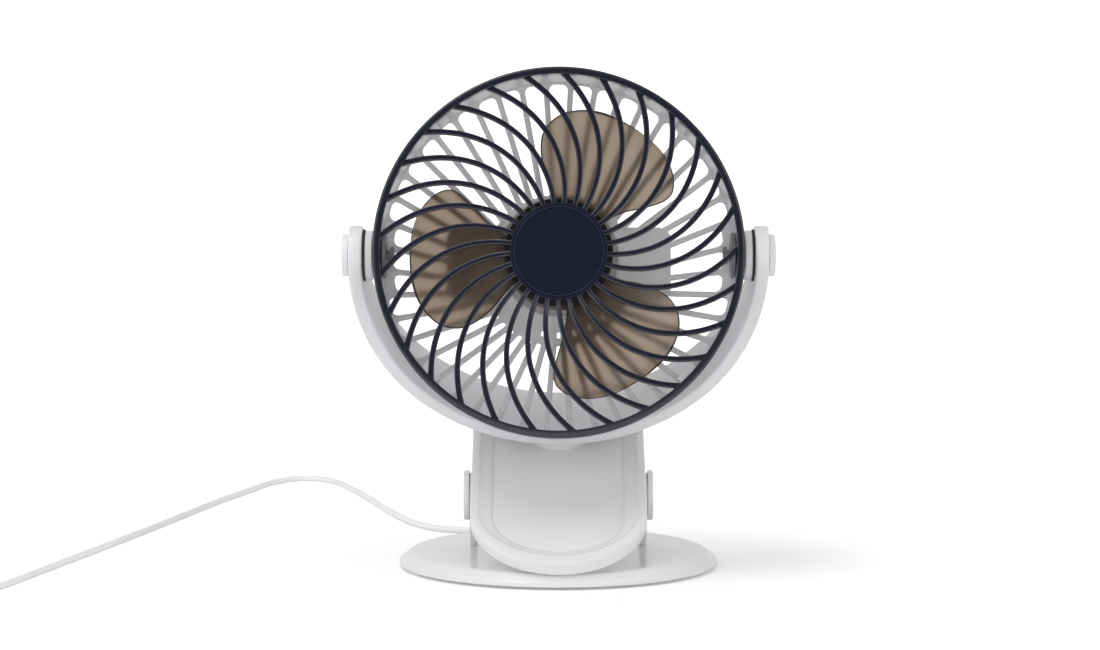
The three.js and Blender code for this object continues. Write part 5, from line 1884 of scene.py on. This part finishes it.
    def holed_cell(self, outer: Points, inner: Points, middle: Points, radius: float) -> Skin:
        """A cell of the band with a hole, whose rings keep the bearings of the cell's outline.

        Args:
            outer: its outer line.
            inner: its inner line.
            middle: the hole's middle.
            radius: the hole's radius.

        Returns:
            The skin.
        """
        loop = np.vstack([outer, inner[::-1]])
        aim = unit(loop - middle)
        grows, depths = quarter_round(self.hole_edge, 4)
        pairs = [*zip(grows, self.back + depths), *zip(grows[::-1], self.face - depths[::-1])]
        rings = [raised(middle + aim * (radius + grow), height) for grow, height in pairs]
        rows = np.stack([raised(loop, self.back), *rings, raised(loop, self.face)])
        return rows.reshape(-1, 3), [row_quads(numbered(*rows.shape[:2]), turned_over=True)]

    def middle(self, cells: Points) -> Skin:
        """Disc in the middle: the band's inner edge shrinks to its centre on both faces.

        Args:
            cells: the cells' outlines.

        Returns:
            The skin.
        """
        centre, skins = self.centre(), []
        flat = cells[:, 3 * self.side_points:][:, ::-1].reshape(-1, 2)
        flat = centre + (flat - centre) * (self.collar / self.disc)
        for height, turned_over in ((self.back, True), (self.face, False)):
            rows = np.stack([raised(centre + share * (flat - centre), height)
                             for share in (1.0, 0.7, 0.4, 0.1)])
            index = numbered(*rows.shape[:2])
            pole = np.full(len(flat), index.size)
            fan = np.stack([index[-1], np.roll(index[-1], -1), pole], axis=-1)
            faces = [group[:, ::-1] if turned_over else group for group in (row_quads(index), fan)]
            skins.append((np.vstack([rows.reshape(-1, 3), [*centre, height]]), faces))
        return joined(skins)

    def catch(self, turn: float) -> Skin:
        """A small catch on the inner wall, where the front ring snaps in.

        Args:
            turn: its bearing, in radians.

        Returns:
            The skin.
        """
        points, faces = slab(rounded_box(69.5, 72.4, -2.3, 2.3, 0.5, 4), 4.0, 11.6, 0.25)
        c, s = math.cos(turn), math.sin(turn)
        return points @ np.array([[c, s, 0.0], [-s, c, 0.0], [0.0, 0.0, 1.0]]), faces

    def build(self) -> None:
        """Make the shell with its pivot bosses and motor seat, and the discs at its pivots."""
        root = self.face - 1
        seat = eased([[25.5, root], [25.5, -6.4], [24.2, -6.4], [24.2, root]], [0, 0.3, 0.3, 0],
                     closed=True)
        box = rounded_box(-46.0, 46.0, -17.5, 12.5, 5.0, 12)
        boss = eased([[4.0, 72.9], [7.4, 72.9], [7.4, 75.4], [10.2, 75.4], [10.2, 78.4],
                      [4.0, 78.4]], [0, 0, 0.3, 0.5, 0.6, 0])
        part = Moulding("rear_shell", HEAD_AXES).add(self.shell())
        part.add(turned(seat, 96, closed=True))
        part.add(slab(box, self.back + 0.1, self.face + 0.3, 0.6))
        for way, _ in SIDES:
            part.add(turned(boss, 96, way=way))
        for turn in self.catches:
            part.add(self.catch(math.radians(turn)))
        part.make("head", WHITE, "rear_housing", weld=True)
        rim = eased([[8.6, 69.9], [9.3, 70.2], [9.3, 71.3]], [0, 0.3, 0])
        disc = np.vstack([[3.0, 69.9], rim, [3.0, 71.3]])
        spacer = eased([[6.0, 78.45], [10.6, 78.45], [10.6, 79.2], [6.0, 79.2]], [0, 0.1, 0.1, 0])
        for way, side in SIDES:
            part = Moulding(f"friction_disc_{side}", HEAD_AXES).add(turned(disc, 96, way=way))
            part.make("head", PAD_GREY, f"pivot_washer_{side}")
            part = Moulding(f"tilt_spacer_{side}", HEAD_AXES).add(turned(spacer, 96, way=way))
            part.make("head", RUBBER)


# ------------------------------------------------------------------ head: front grille


@dataclass(frozen=True)
class FrontGrille:
    """Navy ring, hub and curved ribs."""

    ring: float = 75.0
    ring_in: float = 71.9
    ring_front: float = 17.0
    ring_slant: float = 0.4  # how much lower the outer edge is
    ring_back: float = 8.2
    sleeve: float = 73.9  # what snaps into the wall
    sleeve_back: float = 12.2
    ribs: int = 29
    start: float = 8.9  # first rib's bearing, degrees
    sweep: float = 29.5  # degrees from hub to ring
    bend: float = 1.5  # power of the way out
    half_width: float = 1.05
    widening: float = 0.15  # from hub to ring
    thick: float = 2.9
    rib_back: float = 13.8
    rib_drop: float = 1.2  # from hub to ring
    root_rise: float = 1.5  # at the hub
    root_share: float = 0.35  # of the way out
    hub: float = 19.6
    hub_face: float = 18.6
    well: float = 17.9  # holds the cap
    well_floor: float = 16.9
    bead: float = 0.1  # radius of the two thin rings of painted highlight on the rim's edges

    def rib_lines(self) -> tuple[Points, Points, Points, Points]:
        """Lines of all ribs.

        A rib's bearing is start + pitch k + sweep share^bend, where share runs from 0 at the hub to
        1 at the ring; sideways is square to the line's own tangent.

        Returns:
            Middles, sideways directions, half widths and back heights.
        """
        radius = np.linspace(self.hub - 0.8, self.ring_in + 0.9, 34)
        run = self.ring_in - self.hub
        share = np.maximum((radius - self.hub) / run, 0.0)
        sweep = math.radians(self.sweep)
        base = math.radians(self.start) + np.arange(self.ribs)[:, None] * TAU / self.ribs
        bearing = base + sweep * share ** self.bend
        lean = np.arctan(self.bend * share ** (self.bend - 1) * sweep * radius / run)
        across = np.stack([-np.sin(bearing + lean), np.cos(bearing + lean)], axis=-1)
        rise = self.root_rise * np.maximum(0.0, 1 - share / self.root_share) ** 2
        return (radius[:, None] * aimed(bearing), across, self.half_width + self.widening * share,
                self.rib_back - self.rib_drop * share + rise)

    def add_ribs(self, part: Moulding) -> None:
        """Add the ribs: a flat back and a nearly flat front with well rounded edges.

        Args:
            part: the piece that takes them.
        """
        middle, across, half, low = self.rib_lines()
        front = np.array([[1.0, 0.35], [1.0, 0.7], [0.96, 0.86], [0.86, 0.95], [0.68, 0.99],
                          [0.35, 1.0]])
        outline = np.vstack([front, [0.0, 1.0], front[::-1] * [-1, 1], [[-0.8, 0.0], [0.8, 0.0]]])
        side, rise = outline[:, 0], outline[:, 1] * self.thick
        for line, aside in zip(middle, across):
            flat = line[:, None] + (half[:, None] * side)[..., None] * aside[:, None]
            part.add(loft(raised(flat, low[:, None] + rise[None])))

    def build(self) -> None:
        """Make the grille and the disc let into its hub."""
        ring = eased([[self.ring_in, self.sleeve_back], [self.ring_in, self.ring_front],
                      [self.ring, self.ring_front - self.ring_slant], [self.ring, self.ring_back],
                      [self.sleeve, self.ring_back], [self.sleeve, self.sleeve_back]],
                     [0.1, 0.5, 1.0, 0.2, 0.2, 0], 5, closed=True)
        hub = eased([[8.0, 13.6], [self.hub, 13.6], [self.hub, self.hub_face],
                     [self.well, self.hub_face], [self.well, self.well_floor],
                     [8.0, self.well_floor]], [0, 0.7, 0.5, 0.2, 0, 0])
        part = Moulding("front_grille_shell", HEAD_AXES).add(turned(ring, 256, closed=True))
        part.add(turned(hub, 128), 1)
        # Painted highlight: two thin lighter rings along the well's edge and the hub's edge.
        edges = ((self.well + 0.02, self.hub_face - 0.04), (self.hub - 0.22, self.hub_face - 0.16))
        for edge in edges:
            part.add(turned(np.array(edge) + self.bead * aimed(bearings(8)), 160, closed=True), 2)
        self.add_ribs(part)
        part.make("head", (NAVY, NAVY_CAP, NAVY_PAINTED_HIGHLIGHT), "front_grille")
        low, high, radius = 17.2, 18.45, 17.84
        cap = eased([[6.0, low], [radius, low], [radius, high], [10.0, high]], [0, 0, 0.3, 0])
        part = Moulding("hub_disc", HEAD_AXES).add(turned(cap, 128))
        part.make("head", NAVY_CAP, "hub_cap")


# ------------------------------------------------------------------ impeller


@dataclass(frozen=True)
class Impeller:
    """Three broad see-through paddles on a hub that widens towards the motor; a near-black disc of
    painted shade lies on its front.
    """

    blades: int = 3
    tip: float = 60.3
    root: float = 20.8
    neck: float = 22.5  # where a blade starts to widen
    widest: float = 44.5
    hub: float = 22.2
    thick: float = 1.3
    half: float = 27.0  # degrees at the neck
    spread: float = 8.4  # degrees more at the widest
    close: float = 26.0  # degrees less at the tip
    middle: float = 66.5  # first blade's bearing, degrees
    lag: float = 4.8  # degrees on the way out
    pitch: float = 5.2  # edges above and below the middle
    height: float = 0.9
    bead: float = 0.3

    def span(self, radius: Points) -> tuple[Points, Points, Points]:
        """How a blade lies at each radius.

        The half angle grows by a quarter sine until the widest radius, then shrinks by
        close x (1 - sqrt(1 - outward^2.5)) towards the tip.

        Args:
            radius: distances from the axis.

        Returns:
            Middle bearing, half angle and pitch.
        """
        inward = np.clip((radius - self.neck) / (self.widest - self.neck), 0.0, 1.0)
        outward = np.clip((radius - self.widest) / (self.tip - self.widest), 0.0, 1.0)
        half = (self.half + self.spread * np.sin(inward * RIGHT_ANGLE)
                - self.close * (1 - np.sqrt(1 - outward ** 2.5)))
        middle = self.middle - self.lag * np.clip((radius - 33) / 20, 0.0, 1.0)
        return np.radians(middle), np.radians(half), self.pitch * (1 - 0.25 * outward)

    def sheet(self, number: int, level: float) -> Points:
        """Grid of one face of a blade, higher towards greater bearings.

        Args:
            number: which blade.
            level: -1/2 for its rear face, 1/2 for its front and 0 halfway.

        Returns:
            Rows by radius and columns along the arc.
        """
        outward = np.sin(np.linspace(0.0, RIGHT_ANGLE, 44))[:, None]
        radius = self.root + (self.tip - self.root) * outward
        middle, half, pitch = self.span(radius)
        share = np.linspace(-1.0, 1.0, 33)[None, :]
        turn = middle + number * TAU / self.blades + half * share
        return raised(radius[..., None] * aimed(turn),
                      self.height + pitch * share + level * self.thick)

    def rim(self, number: int) -> Points:
        """Outline of a blade from its root round the tip and back, halfway through its wall."""
        grid = self.sheet(number, 0.0)
        return np.vstack([grid[:, 0], grid[-1, 1:-1], grid[::-1, -1]])

    def build(self) -> None:
        """Make hub and blades in one; a near-black disc of painted shade lies on the hub, and beads
        edge the blades.
        """
        cup = eased([[10.0, 9.0], [17.6, 9.0], [20.0, 7.4], [self.hub, -1.5], [self.hub, -3.5],
                     [20.7, -3.5], [18.6, 7.0], [3.5, 7.0], [3.5, 3.2], [1.3, 3.2], [1.3, 7.9]],
                    [0, 1.2, 1.2, 1.5, 0.3, 0.3, 0.6, 0.2, 0.1, 0.1, 0])
        # Painted shade: an opaque near-black disc stands for the shade round the hub and the dark
        # motor seen through it.
        disc = eased([[3.0, 9.0], [20.6, 9.0], [22.0, 11.2], [22.0, 12.2], [3.0, 12.2]],
                     [0, 0.6, 0.3, 0.4, 0])
        part = Moulding("impeller_moulding", HEAD_AXES)
        part.add(turned(cup, 128)).add(turned(disc, 128), 1)
        for number in range(self.blades):
            faces = [self.sheet(number, -0.5), self.sheet(number, 0.5)[:, ::-1]]
            part.add(loft(np.concatenate(faces, axis=1)))
            part.add(tube(evenly(self.rim(number), 0.9), self.bead, 8), 2)
        part.make("impeller", (SMOKY, SMOKY_HUB_PAINTED_SHADE, SMOKY_EDGE), "impeller")


# ------------------------------------------------------------------ control box


@dataclass(frozen=True)
class ControlBox:
    """Housing behind the grille, with its lid, screws and speed button."""

    half: float = 46.0
    low: float = -17.5
    high: float = 12.5
    corner: float = 5.0
    front: float = -12.3
    rear: float = -33.5
    lid: float = -35.8
    lid_edge: float = 1.2
    button: tuple[float, float] = (34.5, -2.5)
    screw_radius: float = 2.35
    screws: tuple[tuple[float, float], ...] = ((-41.5, 9.0), (41.5, 9.0), (-41.5, -14.0),
                                               (41.5, -14.0))

    def outline(self) -> Points:
        """The box's round-cornered outline."""
        return rounded_box(-self.half, self.half, self.low, self.high, self.corner, 12)

    def lid_skin(self) -> Skin:
        """Lid whose rear edge is well rounded.

        Returns:
            The skin.
        """
        insets, depths = quarter_round(self.lid_edge, 7)
        pairs = [*zip(insets, self.lid + depths), (0.0, self.rear - 0.3)]
        line = self.outline()
        return loft(np.stack([raised(inset(line, depth), height) for depth, height in pairs]))

    def screw_skin(self, place: tuple[float, float]) -> Skin:
        """Low domed head with a cross recess, worked out on a polar grid.

        Height is a shallow dome less a recess that is deep where |x| or |y| is small, and ends
        at two thirds of the radius.

        Args:
            place: the screw's middle.

        Returns:
            The skin.
        """
        recess_depth, arm_half, arm_end, dome = 0.55, 0.42, 1.55, 0.16
        radius = (np.linspace(0.05, 1.0, 26) * self.screw_radius)[:, None]
        flat = radius[..., None] * aimed(bearings(96))
        reach = np.abs(flat)
        arm = smooth((arm_half - reach.min(axis=-1)) / 0.16)
        recess = recess_depth * arm * smooth((arm_end - reach.max(axis=-1)) / 0.2)
        height = self.lid + 0.1 + dome * (radius / self.screw_radius) ** 2 + recess
        placed = flat + np.array(place)
        return loft(np.concatenate([raised(placed, height), raised(placed[-1:], self.lid + 0.9)]))

    def build(self) -> None:
        """Make the box, the lid, the screws and the button."""
        case = slab(self.outline(), self.rear, self.front, 0.7)
        Moulding("control_case", HEAD_AXES).add(case).make("head", WHITE, "control_box")
        Moulding("control_lid", HEAD_AXES).add(self.lid_skin()).make("head", WHITE, "rear_cover")
        for number, place in enumerate(self.screws, 1):
            part = Moulding(f"lid_screw_{number}", HEAD_AXES).add(self.screw_skin(place))
            part.make("head", STEEL, f"cover_screw_{number}")
        key = eased([[1.0, -36.75], [3.2, -36.9], [4.6, -37.1], [4.6, -33.0], [5.6, -33.0],
                     [5.6, -31.8], [2.0, -31.8]], [0, 0.8, 0.5, 0, 0, 0, 0])
        part = Moulding("speed_key", HEAD_AXES).add(turned(key, 96, centre=(*self.button, 0.0)))
        part.make("button", WHITE_GLOSS_PAINTED_LIGHT, "speed_button")


# ------------------------------------------------------------------ carried-over nodes


NODE_FINISHES: dict[Finish, tuple[str, ...]] = {
    STEEL: ("base_screw_1", "base_screw_2", "base_screw_3", "hinge_pin", "swivel_bolt",
            "swivel_washer", "swivel_nut", "motor_can", "motor_shaft", "usb_plug_shell"),
    PAD_GREY: ("pivot_bolt_left", "pivot_bolt_right"),
    CELL: ("battery_cell",),
    GREEN_BOARD: ("control_board",),
}


def dress_nodes() -> None:
    """Give each CAD node that stays its finish."""
    for finish, names in NODE_FINISHES.items():
        for name in names:
            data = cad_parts[name].data
            data.materials.clear()
            data.materials.append(finish.material())
            LOG.info("%s: dressed in %s", name, finish.name)


def main() -> None:
    """Build the studio, then each sub-assembly in order."""
    logging.basicConfig(level=logging.INFO, format="%(name)s %(message)s")
    bpy.context.scene.view_settings.view_transform = "Standard"
    studio = Studio()
    studio.camera()
    for assembly in (Lead(), Base(), UpperJaw(), Yoke(), RearHousing(), FrontGrille(), Impeller(),
                     ControlBox()):
        LOG.info("building %s", type(assembly).__name__)
        assembly.build()
    dress_nodes()
    studio.floor()
    studio.light()


if __name__ == "__main__":
    main()
